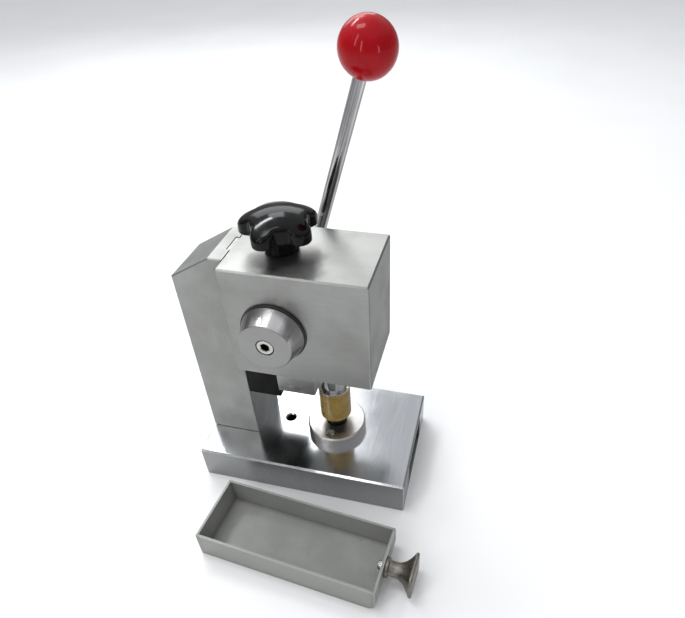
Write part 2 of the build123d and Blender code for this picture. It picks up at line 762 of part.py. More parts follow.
# --- punch and stripper -----------------------------------------------------------------
with BuildPart() as punch:
    with BuildSketch(Plane.XY.offset(punch_bottom)):
        Circle(punch_radius)
    extrude(amount=ram_bottom - punch_bottom)
    with BuildSketch(Plane.XY.offset(ram_bottom)):
        Circle(punch_shank_radius)
    extrude(amount=punch_shank_length)
    chamfer(punch.edges().group_by(Axis.Z)[-1], edge_chamfer)
punch.part.label = "punch"
export_step(punch.part, "parts/punch.step")

sleeve_bottom = ram_bottom - sleeve_overhang
sleeve_top = sleeve_bottom + sleeve_length
with BuildPart() as stripper_sleeve:
    with BuildSketch(Plane.XY.offset(sleeve_bottom)):
        Circle(sleeve_radius)
    extrude(amount=sleeve_length)
    fillet(stripper_sleeve.edges().group_by(Axis.Z)[0], sleeve_edge)
    with Locations((0, 0, sleeve_bottom)):
        Cylinder(ram_radius + seat_fit, sleeve_length, align=standing, mode=Mode.SUBTRACT)
stripper_sleeve.part.label = "stripper_sleeve"
export_step(stripper_sleeve.part, "parts/stripper_sleeve.step")

with BuildPart() as sleeve_ring:
    with BuildSketch(Plane.XY.offset(sleeve_top)):
        Circle(sleeve_radius)
    extrude(amount=sleeve_ring_thickness)
    chamfer(sleeve_ring.edges().group_by(Axis.Z)[-1], sleeve_ring_thickness / 4)
    with Locations((0, 0, sleeve_top)):
        Cylinder(ram_radius + seat_fit, sleeve_ring_thickness, align=standing, mode=Mode.SUBTRACT)
sleeve_ring.part.label = "sleeve_ring"
export_step(sleeve_ring.part, "parts/sleeve_ring.step")

# --- brake ------------------------------------------------------------------------------
hub_bottom = top_z + star_standoff
rim_bottom = hub_bottom + star_hub_height
rim_top = rim_bottom + star_rim_height
crown_top = rim_top + star_crown
crown_radius = (star_radius**2 + star_crown**2) / (2 * star_crown)
star_origin = Plane(origin=(shaft_x, 0, 0), x_dir=(1, 0, 0), z_dir=(0, 0, 1))
lobe_circle = star_radius - star_lobe_radius


def in_valley(edge):
    """An upright edge where a lobe meets the core."""
    reach = (edge.center() - Vector(shaft_x, 0, edge.center().Z)).length
    return isclose(reach, star_core_radius, abs_tol=seat_fit)


with BuildPart() as star_knob:
    with BuildSketch(star_origin.offset(rim_bottom)):
        Circle(star_core_radius)
        with PolarLocations(lobe_circle, star_lobes, start_angle=star_phase):
            Circle(star_lobe_radius)
    extrude(amount=crown_top - rim_bottom)
    fillet(star_knob.edges().filter_by(Axis.Z).filter_by(in_valley), star_valley_radius)
    # A ball from below rounds the crown off.
    with Locations((shaft_x, 0, crown_top - crown_radius)):
        Sphere(crown_radius, mode=Mode.INTERSECT)
    crown_edges = star_knob.edges().group_by(Axis.Z)[0]
    fillet(crown_edges, star_edge)
    with Locations((shaft_x, 0, hub_bottom)):
        Cylinder(star_hub_radius, star_hub_height + star_edge, align=standing)
    chamfer(star_knob.edges().group_by(Axis.Z)[0], edge_chamfer)
    with Locations((shaft_x, 0, hub_bottom)):
        Cylinder(stud_radius + seat_fit, stud_in_knob, align=standing, mode=Mode.SUBTRACT)
star_knob.part.label = "star_knob"
export_step(star_knob.part, "parts/star_knob.step")

with BuildPart() as brake_stud:
    with BuildSketch(star_origin.offset(shoe_top)):
        Circle(stud_radius)
    extrude(amount=hub_bottom + stud_in_knob - shoe_top)
    chamfer(brake_stud.edges().filter_by(GeomType.CIRCLE), edge_chamfer)
brake_stud.part.label = "brake_stud"
export_step(brake_stud.part, "parts/brake_stud.step")

with BuildPart() as brake_shoe:
    with BuildSketch(star_origin.offset(shaft_z + pitch_radius)):
        Circle(shoe_radius)
    extrude(amount=shoe_top - shaft_z - pitch_radius)
    with BuildSketch(shaft_plane.offset(-shoe_radius)):
        Circle(tip_radius + shoe_gap)
    extrude(amount=2 * shoe_radius, mode=Mode.SUBTRACT)
brake_shoe.part.label = "brake_shoe"
export_step(brake_shoe.part, "parts/brake_shoe.step")

# --- drawer -----------------------------------------------------------------------------
# The drawer lies on the bench beside the base.  Its own X runs along it to the pull.
tray_plane = Plane.XY.rotated((0, 0, tray_turn))
tray_plane.origin = (tray_corner[0], tray_corner[1], 0)
tray_side_plane = Plane(
    origin=tray_plane.origin, x_dir=tray_plane.x_dir, z_dir=tray_plane.y_dir * -1
)
tray_end_point = tray_plane.from_local_coords(Vector(tray_length, tray_width / 2, pull_height))
pull_plane = Plane(origin=tray_end_point, x_dir=tray_plane.y_dir, z_dir=tray_plane.x_dir)


def tray_profile(inset, low, high):
    """Side view of the drawer drawn in by the inset: a bent-up front end and a square rear end."""
    bend = tray_bend - inset
    end = tray_length - inset
    Line((inset, high), (inset, low))
    Line((inset, low), (end - bend, low))
    RadiusArc((end - bend, low), (end, low + bend), -bend)
    Line((end, low + bend), (end, high))
    Line((end, high), (inset, high))


with BuildPart() as tray:
    with BuildSketch(tray_side_plane):
        with BuildLine():
            tray_profile(0, 0, tray_height)
        make_face()
    extrude(amount=-tray_width)
    with BuildSketch(tray_side_plane.offset(-tray_wall)):
        with BuildLine():
            tray_profile(tray_wall, tray_wall, tray_height + tray_wall)
        make_face()
    extrude(amount=-(tray_width - 2 * tray_wall), mode=Mode.SUBTRACT)
    with BuildSketch(pull_plane):
        Circle(screw_bore(m4))
    extrude(amount=-2 * tray_wall, mode=Mode.SUBTRACT)
tray.part.label = "tray"
export_step(tray.part, "parts/tray.step")

with BuildPart() as tray_knob:
    with BuildSketch(pull_plane):
        Circle(pull_collar_radius)
    extrude(amount=pull_collar_length)
    with BuildSketch(pull_plane.offset(pull_collar_length)):
        Circle(pull_neck_radius)
    with BuildSketch(pull_plane.offset(pull_reach / 2)):
        Circle(pull_neck_radius)
    with BuildSketch(pull_plane.offset(pull_reach - pull_face_thickness)):
        RectangleRounded(pull_size, pull_size, pull_corner)
    loft()
    with BuildSketch(pull_plane.offset(pull_reach - pull_face_thickness)):
        RectangleRounded(pull_size, pull_size, pull_corner)
    extrude(amount=pull_face_thickness)
    with BuildSketch(pull_plane):
        Circle(screw_bore(m4))
    extrude(amount=pull_screw_length, mode=Mode.SUBTRACT)
tray_knob.part.label = "tray_knob"
export_step(tray_knob.part, "parts/tray_knob.step")

inside_wall = Plane(
    origin=pull_plane.offset(-tray_wall).origin, x_dir=tray_plane.y_dir, z_dir=tray_plane.x_dir * -1
)
tray_knob_screw = socket_screws(inside_wall, [(0, 0)], m4, pull_screw_length + tray_wall - drill_point)
tray_knob_screw.part.label = "tray_knob_screw"
export_step(tray_knob_screw.part, "parts/tray_knob_screw.step")
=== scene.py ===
# %% [markdown]
# # A lever press with a rack-driven ram
# The press was drawn as solids first, and those solids are the frame of this scene: they give every
# place and every size. This lesson dresses them. Flat machined blocks keep their solids and get a
# better finish, while round, moulded and bent parts are worked out again as fine surfaces.
# The frame is read first, because everything after it asks the frame where things are.

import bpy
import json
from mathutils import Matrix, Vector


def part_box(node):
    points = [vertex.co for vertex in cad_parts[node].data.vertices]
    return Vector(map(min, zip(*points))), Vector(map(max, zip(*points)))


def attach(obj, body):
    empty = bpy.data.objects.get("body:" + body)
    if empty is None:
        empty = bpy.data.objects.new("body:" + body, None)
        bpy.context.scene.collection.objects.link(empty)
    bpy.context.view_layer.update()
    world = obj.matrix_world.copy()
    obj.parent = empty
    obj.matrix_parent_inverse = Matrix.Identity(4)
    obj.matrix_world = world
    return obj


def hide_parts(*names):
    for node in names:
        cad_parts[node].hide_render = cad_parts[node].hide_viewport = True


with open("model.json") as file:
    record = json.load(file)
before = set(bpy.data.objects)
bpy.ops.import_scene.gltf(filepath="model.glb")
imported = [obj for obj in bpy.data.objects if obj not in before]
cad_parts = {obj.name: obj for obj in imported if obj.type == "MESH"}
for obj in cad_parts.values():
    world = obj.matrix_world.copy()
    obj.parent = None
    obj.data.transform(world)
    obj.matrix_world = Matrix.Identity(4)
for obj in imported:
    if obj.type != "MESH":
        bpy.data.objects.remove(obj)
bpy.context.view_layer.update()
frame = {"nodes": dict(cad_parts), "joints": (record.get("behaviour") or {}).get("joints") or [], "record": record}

# %% The tools this lesson uses
import json
import math

import bmesh
import bpy
import numpy as np
from mathutils import Quaternion, Vector

mm = 0.001


def corners(node):
    """Lowest and highest corner of a solid at rest, in metres, as arrays."""
    low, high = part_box(node)
    return np.array(low), np.array(high)


base_low, base_high = corners("base_plate")
print("base plate, mm:", np.round((base_high - base_low) / mm, 1))

# %% [markdown]
# ## The camera
# The press is looked down on from the side that has the round cap, a little more than half way up
# to straight above. The camera is held close with a short lens, so upright edges lean together
# towards the bottom. A hand-held camera is never quite level, so it also gets a small roll, and a
# small shift puts the press where it belongs in the frame without turning the camera.

# %% Place the camera
camera_place = Vector((0.116, -0.3241, 0.4384))
camera_aim = Vector((0.0198, 0.0488, 0.1194))
camera_roll = math.radians(-1.67)

lens = bpy.data.cameras.new("portrait_lens")
lens.lens = 29.07
lens.sensor_width = 36.0
lens.shift_x = -0.037
lens.shift_y = 0.024
lens.clip_start = 0.01
lens.clip_end = 60.0
camera = bpy.data.objects.new("portrait_camera", lens)
camera.location = camera_place
towards = (camera_aim - camera_place).to_track_quat("-Z", "Y")
camera.rotation_euler = (towards @ Quaternion((0, 0, 1), camera_roll)).to_euler()
bpy.context.scene.collection.objects.link(camera)
bpy.context.scene.camera = camera
bpy.context.scene.view_settings.view_transform = "Standard"
print("camera is", round((camera_aim - camera_place).length, 3), "m from its aim")

# %% [markdown]
# ## Node groups: one effect, many finishes
# Wear, grinding lines and finger marks turn up on many parts. Copying their nodes into each
# material would make a dozen things to keep alike. A shader node group is made once, and every
# material that uses it sets only its own values. The groups give out masks and values, and the
# shader itself stays in each material.

# %% Helpers that lay nodes
def put(tree, kind, options=None, feeds=None):
    """Adds one node, sets its options and fills its inputs: sockets are linked, values are set."""
    made = tree.nodes.new("ShaderNode" + kind)
    for option, value in (options or {}).items():
        setattr(made, option, value)
    for key, value in (feeds or {}).items():
        if isinstance(value, bpy.types.NodeSocket):
            tree.links.new(value, made.inputs[key])
        else:
            made.inputs[key].default_value = value
    return made


def calc(tree, operation, *values):
    """One step of arithmetic on sockets or numbers."""
    return put(tree, "Math", {"operation": operation}, dict(enumerate(values))).outputs[0]


def mixed(tree, share, first, second):
    """A share of the first value and the rest of the second."""
    rest = calc(tree, "MULTIPLY", second, 1 - share)
    return calc(tree, "ADD", calc(tree, "MULTIPLY", first, share), rest)


def ramp(tree, value, start, stop, low=0.0, high=1.0):
    """Follows a value smoothly from low to high while it goes from start to stop."""
    feeds = {"Value": value, "From Min": start, "From Max": stop, "To Min": low, "To Max": high}
    return put(tree, "MapRange", {"interpolation_type": "SMOOTHSTEP"}, feeds).outputs[0]


def blend(tree, share, first, second):
    """A colour between two colours."""
    made = put(tree, "Mix", {"data_type": "RGBA"}, {0: share, 6: first, 7: second})
    return made.outputs[2]


def over(tree, colour, mask, strength, tint):
    """Lays a tint over a colour where a mask is bright, at the given strength."""
    return blend(tree, calc(tree, "MULTIPLY", mask, strength), colour, (*tint, 1))


def new_group(name, wants, gives):
    """An empty group with named inputs and outputs: its tree, input sockets and output sockets."""
    tree = bpy.data.node_groups.new(name, "ShaderNodeTree")
    for label, value in wants.items():
        kind = "NodeSocketFloat" if isinstance(value, float) else "NodeSocketVector"
        socket = tree.interface.new_socket(label, in_out="INPUT", socket_type=kind)
        socket.default_value = value
    for label in gives:
        tree.interface.new_socket(label, in_out="OUTPUT", socket_type="NodeSocketFloat")
    into = tree.nodes.new("NodeGroupInput").outputs
    out = tree.nodes.new("NodeGroupOutput").inputs
    return tree, into, out


def noise(tree, vector, scale, detail, roughness=0.5):
    """A cloud of values round one half."""
    feeds = {"Vector": vector, "Scale": scale, "Detail": detail, "Roughness": roughness}
    return put(tree, "TexNoise", {}, feeds).outputs[0]


# %% [markdown]
# A ground or brushed face is covered in fine lines that all run one way. Noise is round, so the
# material first squeezes the coordinates along the lines, and the group then reads two noises:
# a fine one for the lines and a broad one for the slow change from one stroke to the next.

# %% Group: ground marks
wants = {"Vector": (0, 0, 0), "Fine": 900.0, "Broad": 30.0}
ground_marks, into, out = new_group("ground_marks", wants, ("Lines", "Sweep"))
tree = ground_marks
tree.links.new(noise(tree, into["Vector"], into["Fine"], 3.0, 0.65), out["Lines"])
tree.links.new(noise(tree, into["Vector"], into["Broad"], 3.0, 0.55), out["Sweep"])

# %% [markdown]
# A lathe leaves rings. With the part's axis on local Z, the distance from the axis picks a value
# from a noise with one dimension, so every ring has a tone of its own. The direction from the axis,
# read as a point on a circle so that it has no seam, picks a second tone that changes round the
# axis: a painted sheen, standing in for the broad fan of light that a turned face shows.

# %% Group: turned marks
wants = {"Vector": (0, 0, 0), "Fine": 4000.0}
turned_marks, into, out = new_group("turned_marks", wants, ("Rings", "Fan"))
tree = turned_marks
parts = put(tree, "SeparateXYZ", {}, {0: into["Vector"]}).outputs
squares = [calc(tree, "POWER", parts[k], 2.0) for k in (0, 1)]
from_axis = calc(tree, "SQRT", calc(tree, "ADD", *squares))
# A share of the height is added, so that a straight side has rings too.
along = calc(tree, "MULTIPLY_ADD", parts[2], 0.9, from_axis)
feeds = {"W": calc(tree, "MULTIPLY", along, into["Fine"]), "Scale": 1.0, "Detail": 3.0}
rings = put(tree, "TexNoise", {"noise_dimensions": "1D"}, feeds)
# The fan is a painted sheen: a tone that changes with the direction round the axis.
flat = put(tree, "CombineXYZ", {}, {0: parts[0], 1: parts[1], 2: 0.0})
circle = put(tree, "VectorMath", {"operation": "NORMALIZE"}, {0: flat.outputs[0]})
tree.links.new(rings.outputs[0], out["Rings"])
tree.links.new(noise(tree, circle.outputs[0], 2.6, 2.0), out["Fan"])

# %% [markdown]
# Corners are rubbed bright by hands and cloths. For a block with known lowest and highest corners,
# the distance to each of the three nearest faces is easy to find. On a face one of them is nothing,
# so the middle one of the three is the distance to the nearest edge.

# %% Group: edge wear
wants = {"Vector": (0, 0, 0), "Low": (0, 0, 0), "High": (1, 1, 1), "Width": 0.002}
edge_wear, into, out = new_group("edge_wear", wants, ("Edge",))
tree = edge_wear


def pair(operation, first, second):
    """One step of arithmetic on two vectors."""
    return put(edge_wear, "VectorMath", {"operation": operation}, {0: first, 1: second}).outputs[0]


from_low = pair("SUBTRACT", into["Vector"], into["Low"])
from_high = pair("SUBTRACT", into["High"], into["Vector"])
nearest = pair("MINIMUM", from_low, from_high)
parts = put(tree, "SeparateXYZ", {}, {0: nearest}).outputs
smaller = calc(tree, "MINIMUM", parts[0], parts[1])
larger = calc(tree, "MAXIMUM", parts[0], parts[1])
to_edge = calc(tree, "MAXIMUM", smaller, calc(tree, "MINIMUM", larger, parts[2]))
ragged = calc(tree, "MULTIPLY", noise(tree, into["Vector"], 260.0, 4.0, 0.6), 2.0)
limit = calc(tree, "MULTIPLY", ragged, into["Width"])
tree.links.new(ramp(tree, to_edge, limit, 0.0), out["Edge"])

# %% [markdown]
# Nothing that is used stays clean. Finger marks are soft clouds, specks are the tips of a fine
# noise, and hair scratches are the thin lines where a long, drawn-out noise passes through its
# middle value. The masks are faint, and each material decides what they do.

# %% Group: handling
wants = {"Vector": (0, 0, 0), "Size": 0.03}
handling, into, out = new_group("handling", wants, ("Smudge", "Specks", "Scratches"))
tree = handling
coarse = calc(tree, "DIVIDE", 1.0, into["Size"])
clouds = noise(tree, into["Vector"], coarse, 4.0, 0.6)
tree.links.new(ramp(tree, clouds, 0.38, 0.68), out["Smudge"])
tips = noise(tree, into["Vector"], calc(tree, "MULTIPLY", coarse, 34.0), 2.0, 0.5)
tree.links.new(ramp(tree, tips, 0.68, 0.76), out["Specks"])
feeds = {"Vector": into["Vector"], "Rotation": (0.5, 0.9, 0.6), "Scale": (1.0, 0.06, 1.0)}
drawn = put(tree, "Mapping", {}, feeds).outputs[0]
hair = noise(tree, drawn, calc(tree, "MULTIPLY", coarse, 7.0), 2.0, 0.4)
off_middle = calc(tree, "ABSOLUTE", calc(tree, "SUBTRACT", hair, 0.5))
tree.links.new(ramp(tree, off_middle, 0.006, 0.0), out["Scratches"])

# %% [markdown]
# Paint, lacquer and moulded plastic dry or cool with a skin that is never quite flat. Two noises,
# one as wide as the dimples of an orange and one much finer, add up to its height.

# %% Group: moulded skin
wants = {"Vector": (0, 0, 0), "Size": 0.002}
moulded_skin, into, out = new_group("moulded_skin", wants, ("Peel", "Grain"))
tree = moulded_skin
dimples = calc(tree, "DIVIDE", 1.0, into["Size"])
tree.links.new(noise(tree, into["Vector"], dimples, 1.0, 0.4), out["Peel"])
finer = calc(tree, "MULTIPLY", dimples, 6.0)
tree.links.new(noise(tree, into["Vector"], finer, 3.0, 0.6), out["Grain"])
print("groups:", sorted(g.name for g in bpy.data.node_groups))

# %% [markdown]
# ## Two recipes
# Nearly every finish here is bare metal, or else a skin of paint or plastic. The metal recipe takes
# two tones, two roughness values and the marks that its machining left. The tone and the roughness
# both follow those marks, and a shallow bump lets them break up a reflection as real ones do.

# %% Recipe for bare metal
milled_roughness = 0.14  # added where a face is only milled
rubbed_brightness = 1.25  # how much brighter than the light tone a rubbed edge is


def new_finish(name, **plain):
    """A material, its tree, its shader and the object's coordinates; plain values go on it."""
    material = bpy.data.materials.new(name)
    material.use_nodes = True
    tree = material.node_tree
    shader = next(n for n in tree.nodes if n.type == "BSDF_PRINCIPLED")
    for label, value in plain.items():
        shader.inputs[label.replace("_", " ")].default_value = value
    place = put(tree, "TexCoord").outputs["Object"]
    return material, tree, shader, place


def use(tree, group, **feeds):
    """Places a node group and fills its named inputs."""
    return put(tree, "Group", {"node_tree": group}, feeds).outputs


def ground(stretch, fine, broad):
    """Marks of a ground face: the coordinates are squeezed before the group reads them."""
    def lay(tree, place):
        drawn = put(tree, "Mapping", {}, {"Vector": place, "Scale": stretch}).outputs[0]
        return use(tree, ground_marks, Vector=drawn, Fine=fine, Broad=broad)
    return lay


def seen_from(tree, place, centre, turn):
    """Coordinates measured from a centre, along axes that are turned."""
    feeds = {"Vector": place, "Location": tuple(centre), "Rotation": tuple(turn)}
    return put(tree, "Mapping", {"vector_type": "TEXTURE"}, feeds).outputs[0]


def turned_on(centre, turn):
    """Marks of a turned part, whose axis runs through the centre along local Z."""
    def lay(tree, place):
        return use(tree, turned_marks, Vector=seen_from(tree, place, centre, turn))
    return lay


def drawn_along(centre, axis, fine, broad):
    """Marks of a drawn bar: its axis is put on local Z and squeezed, so the lines follow it."""
    turn = Vector(axis).to_track_quat("Z", "Y").to_euler()

    def lay(tree, place):
        local = seen_from(tree, place, centre, turn)
        return ground((1.0, 1.0, 0.01), fine, broad)(tree, local)
    return lay


def bump(tree, shader, height, distance, strength):
    """Feeds a height into the shader's normal."""
    made = put(tree, "Bump", {}, {"Height": height, "Distance": distance, "Strength": strength})
    tree.links.new(made.outputs[0], shader.inputs["Normal"])


def near_edge(tree, place, low, high, width):
    """Mask of the edges of a box, from the edge wear group."""
    feeds = {"Vector": place, "Low": tuple(low), "High": tuple(high), "Width": width}
    return use(tree, edge_wear, **feeds)["Edge"]


def metal(name, dark, light, gloss, marks, relief, worn=None, hand=0.03,
          stain=(0.75, 0.72, 0.68), sides=None, **plain):
    """Bare metal: tone and roughness follow the machining marks, finger marks dull it, edges shine.

    Worn gives the low and high corners of a block and how wide its edges are rubbed. Sides gives an
    axis, the two places on it between which the finish changes, and the tone past them.
    """
    plain.setdefault("Metallic", 1.0)
    material, tree, shader, place = new_finish(name, **plain)
    lines, sweep = marks(tree, place)
    touch = use(tree, handling, Vector=place, Size=hand)
    # On turned parts the second mark is the fan, so there this tone also carries a painted sheen.
    tone = mixed(tree, 0.5, lines, sweep)
    colour = blend(tree, ramp(tree, tone, 0.34, 0.66), (*dark, 1), (*light, 1))
    stained = tuple(a * b for a, b in zip(dark, stain))
    colour = over(tree, colour, touch["Smudge"], 0.2, stained)
    colour = over(tree, colour, touch["Specks"], 0.3, stained)
    rough = ramp(tree, mixed(tree, 0.6, lines, touch["Smudge"]), 0.2, 0.8, *gloss)
    # On the base's sides, the head's front and the cap screw's socket, the tone past the change is painted shade.
    if sides:
        axis, start, stop, past_tone = sides
        past = ramp(tree, put(tree, "SeparateXYZ", {}, {0: place}).outputs[axis], start, stop)
        colour = blend(tree, past, colour, (*past_tone, 1))
        rough = calc(tree, "MULTIPLY_ADD", past, milled_roughness, rough)
    if worn:
        edge = near_edge(tree, place, *worn)
        bright = tuple(min(1.0, c * rubbed_brightness) for c in light)
        colour = over(tree, colour, edge, 0.8, bright)
        rough = calc(tree, "SUBTRACT", rough, calc(tree, "MULTIPLY", edge, gloss[0] * 0.5))
    tree.links.new(colour, shader.inputs["Base Color"])
    tree.links.new(rough, shader.inputs["Roughness"])
    height = calc(tree, "SUBTRACT", lines, calc(tree, "MULTIPLY", touch["Scratches"], 0.3))
    bump(tree, shader, height, relief, 0.6)
    return material


# %% Recipe for paint and plastic
def skin(name, dark, light, gloss, peel, relief, hand, dust=(0.5, 0.5, 0.48), dusty=0.1, **plain):
    """Paint or plastic: a dimpled skin whose tone drifts, with dull finger marks and dust."""
    material, tree, shader, place = new_finish(name, **plain)
    surface = use(tree, moulded_skin, Vector=place, Size=peel)
    touch = use(tree, handling, Vector=place, Size=hand)
    drift = mixed(tree, 0.7, touch["Smudge"], surface["Grain"])
    colour = blend(tree, drift, (*dark, 1), (*light, 1))
    colour = over(tree, colour, touch["Specks"], dusty, dust)
    colour = over(tree, colour, touch["Scratches"], dusty, dust)
    rough = mixed(tree, 0.6, touch["Smudge"], surface["Grain"])
    tree.links.new(colour, shader.inputs["Base Color"])
    tree.links.new(ramp(tree, rough, 0.15, 0.85, *gloss), shader.inputs["Roughness"])
    bump(tree, shader, surface["Peel"], relief, 0.5)
    return material, tree, shader, place, colour


# %% [markdown]
# ## The finishes of the solids
# The base is surface ground and then polished, so it is nearly a mirror: its roughness is low and
# the lines run across it, from the lever's side to the cap's side. The column and the head have a
# duller satin face. They share the recipe and the groups, and differ in tones, in the way their
# lines run and in the corners that their edge wear is measured from. The base's sides and the
# head's front are only milled, so past a chamfer they turn rougher. They also turn darker there,
# and that darker tone is painted shade.

# %% Finish the frame's blocks
head_low, head_high = corners("head_block")
column_low, column_high = corners("column")
lug_depth = 16.5 * mm  # a lug under the head makes its box this much deeper
head_low[0] = column_high[0]
head_low[2] += lug_depth

# Past the top chamfer the base's sides turn rougher and darker; the darker tone is painted shade.
polished_base = metal(
    "polished_base", (0.43, 0.44, 0.45), (0.50, 0.51, 0.53), (0.12, 0.22),
    ground((1.0, 0.015, 1.0), 2600.0, 60.0), 0.014 * mm, (base_low, base_high, 1.0 * mm), 0.05,
    sides=(2, base_high[2] - 1.3 * mm, base_high[2] - 1.7 * mm, (0.27, 0.275, 0.275)),
)
# Past its chamfer the head's front turns darker: painted shade.
satin_head = metal(
    "satin_head", (0.285, 0.288, 0.278), (0.325, 0.328, 0.318), (0.34, 0.50),
    ground((0.05, 1.0, 1.0), 1700.0, 40.0), 0.012 * mm, (head_low, head_high, 0.8 * mm), 0.05,
    sides=(0, head_high[0] - 0.7 * mm, head_high[0] - 0.2 * mm, (0.19, 0.192, 0.186)),
)
satin_column = metal(
    "satin_column", (0.275, 0.278, 0.268), (0.315, 0.318, 0.308), (0.36, 0.52),
    ground((1.0, 1.0, 0.05), 1700.0, 40.0), 0.012 * mm, (column_low, column_high, 0.8 * mm), 0.05,
)
# The support block is given a near-black tone, so the place it fills reads black.
block_low, block_high = corners("support_block")
near_black = metal(
    "near_black_block", (0.003, 0.003, 0.003), (0.009, 0.0085, 0.008), (0.34, 0.50),
    ground((1.0, 0.08, 1.0), 1200.0, 60.0), 0.02 * mm, (block_low, block_high, 0.5 * mm), 0.02,
    Metallic=0.3, Specular_IOR_Level=0.1,
)
print("finished blocks:", polished_base.name, satin_head.name, satin_column.name, near_black.name)

# %% [markdown]
# The die under the punch, the lever's hub and the shaft are turned. Each gets its own copy of the
# turned finish, because the rings have to be centred on each part's own axis.

# %% Finish the turned solids
upright = (0.0, 0.0, 0.0)
sideways = (math.radians(-90), 0.0, 0.0)


def middle(node):
    """The middle of a solid's box."""
    low, high = corners(node)
    return (low + high) / 2


def turned_steel(name, centre, turn, dark=(0.46, 0.45, 0.44), light=(0.72, 0.71, 0.70),
                 gloss=(0.14, 0.30), sides=None):
    """Turned steel with rings about an axis through the centre."""
    rings = turned_on(centre, turn)
    return metal(name, dark, light, gloss, rings, 0.012 * mm, None, 0.02, sides=sides)


def zinc(name, sides=None):
    """Zinc plating that has gone a little yellow."""
    return metal(
        name, (0.38, 0.37, 0.34), (0.62, 0.60, 0.55), (0.20, 0.36),
        ground((1, 1, 1), 1100.0, 120.0), 0.01 * mm, None, 0.006, sides=sides,
    )


die_steel = turned_steel(
    "die_steel", middle("anvil_disc"), upright, (0.44, 0.425, 0.41), (0.54, 0.525, 0.51),
    (0.26, 0.40),
)
shaft_steel = turned_steel("shaft_steel", middle("pinion_shaft"), sideways)
ring_steel = turned_steel(
    "ring_steel", middle("ram"), upright, (0.40, 0.38, 0.36), (0.66, 0.63, 0.60),
)
chromed_ram = metal(
    "chromed_ram", (0.50, 0.50, 0.51), (0.74, 0.74, 0.75), (0.06, 0.16),
    ground((1.0, 1.0, 0.03), 1500.0, 50.0), 0.006 * mm,
)
bush_bronze = metal(
    "bush_bronze", (0.42, 0.26, 0.10), (0.62, 0.42, 0.18), (0.20, 0.38),
    turned_on(middle("pinion_shaft"), sideways), 0.015 * mm,
)
oxide_screw = metal(
    "oxide_screw", (0.012, 0.012, 0.013), (0.04, 0.04, 0.042), (0.24, 0.42),
    ground((1, 1, 1), 900.0, 90.0), 0.01 * mm, None, 0.008, Metallic=0.5, Specular_IOR_Level=0.2,
)
plated_screw = zinc("plated_screw")
# The cap's screw sits deep in its recess, so from just under its face its socket and sides are painted dark:
# painted shade of the recess.
cap_screw_low, _ = corners("cap_screw")
shade_start = cap_screw_low[1] + 0.5 * mm
shaded_screw = zinc(
    "shaded_screw", (1, shade_start, shade_start + 0.5 * mm, (0.02, 0.02, 0.019)),
)
print("turned finishes:", die_steel.name, shaft_steel.name, ring_steel.name)

# %% Hand the finishes to the solids
by_slot = {
    "ground_steel": polished_base, "satin_steel": satin_head, "black_oxide": oxide_screw,
    "turned_steel": shaft_steel, "bronze": bush_bronze, "zinc_screw": plated_screw,
    "chrome_rod": chromed_ram,
}
by_node = {"column": satin_column, "support_block": near_black, "anvil_disc": die_steel}

for part in frame["record"]["subparts"]:
    chosen = by_node.get(part["node"], by_slot.get(part["material_slot"]))
    if chosen:
        solid = frame["nodes"][part["node"]]
        if solid.data.materials:
            solid.data.materials[0] = chosen
        else:
            solid.data.materials.append(chosen)
finished = [p for p in frame["record"]["subparts"] if p["material_slot"] in by_slot]
print("solids with a finish:", len(finished))

# %% [markdown]
# ## Surfaces as grids of numbers
# A surface can be a table of points: each row is a line on it, and neighbouring rows and columns
# bound small four-sided faces. With numpy the whole table is worked out in one go. Where a row
# shrinks to one point, as at the top of a ball, its points are merged so the pole is closed.

# %% Helpers that turn grids into pieces
merge_distance = 1e-6
sharp_angle = math.radians(38)
arc_steps = 5


def place_piece(name, grids, body, slot, finish, nodes, ring=False):
    """Joins grids of points (rows, columns, 3) into one closed piece in place of the named solids.

    Columns go round and close on themselves, and with ring the last row also joins the first.
    """
    faces, start = [], 0
    for grid in grids:
        rows, columns = grid.shape[:2]
        here = start + np.arange(rows * columns).reshape(rows, columns)
        up = np.roll(here, -1, axis=0) if ring else here[1:]
        here = here if ring else here[:-1]
        side, corner = np.roll(here, -1, axis=1), np.roll(up, -1, axis=1)
        faces.append(np.stack([here, side, corner, up], axis=-1).reshape(-1, 4))
        start += rows * columns
    points = np.concatenate([grid.reshape(-1, 3) for grid in grids])
    faces = np.concatenate(faces)
    mesh = bpy.data.meshes.new(name)
    mesh.vertices.add(len(points))
    mesh.vertices.foreach_set("co", points.astype(np.float32).ravel())
    mesh.loops.add(faces.size)
    mesh.loops.foreach_set("vertex_index", faces.astype(np.int32).ravel())
    mesh.polygons.add(len(faces))
    mesh.polygons.foreach_set("loop_start", np.arange(0, faces.size, 4, dtype=np.int32))
    mesh.update(calc_edges=True)
    shell = bmesh.new()
    shell.from_mesh(mesh)
    bmesh.ops.remove_doubles(shell, verts=shell.verts, dist=merge_distance)
    bmesh.ops.recalc_face_normals(shell, faces=shell.faces)
    shell.to_mesh(mesh)
    shell.free()
    dress(name, mesh, body, finish, nodes)


def dress(name, mesh, body, finish, nodes):
    """Puts a mesh into the scene: smooth but for sharp edges, with its finish, on its body."""
    mesh.polygons.foreach_set("use_smooth", np.ones(len(mesh.polygons), dtype=bool))
    mesh.set_sharp_from_angle(angle=sharp_angle)
    mesh.materials.clear()
    mesh.materials.append(finish)
    piece = bpy.data.objects.new(name, mesh)
    bpy.context.scene.collection.objects.link(piece)
    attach(piece, body)
    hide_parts(*nodes)
    print(name, "has", len(mesh.polygons), "faces")
    return piece


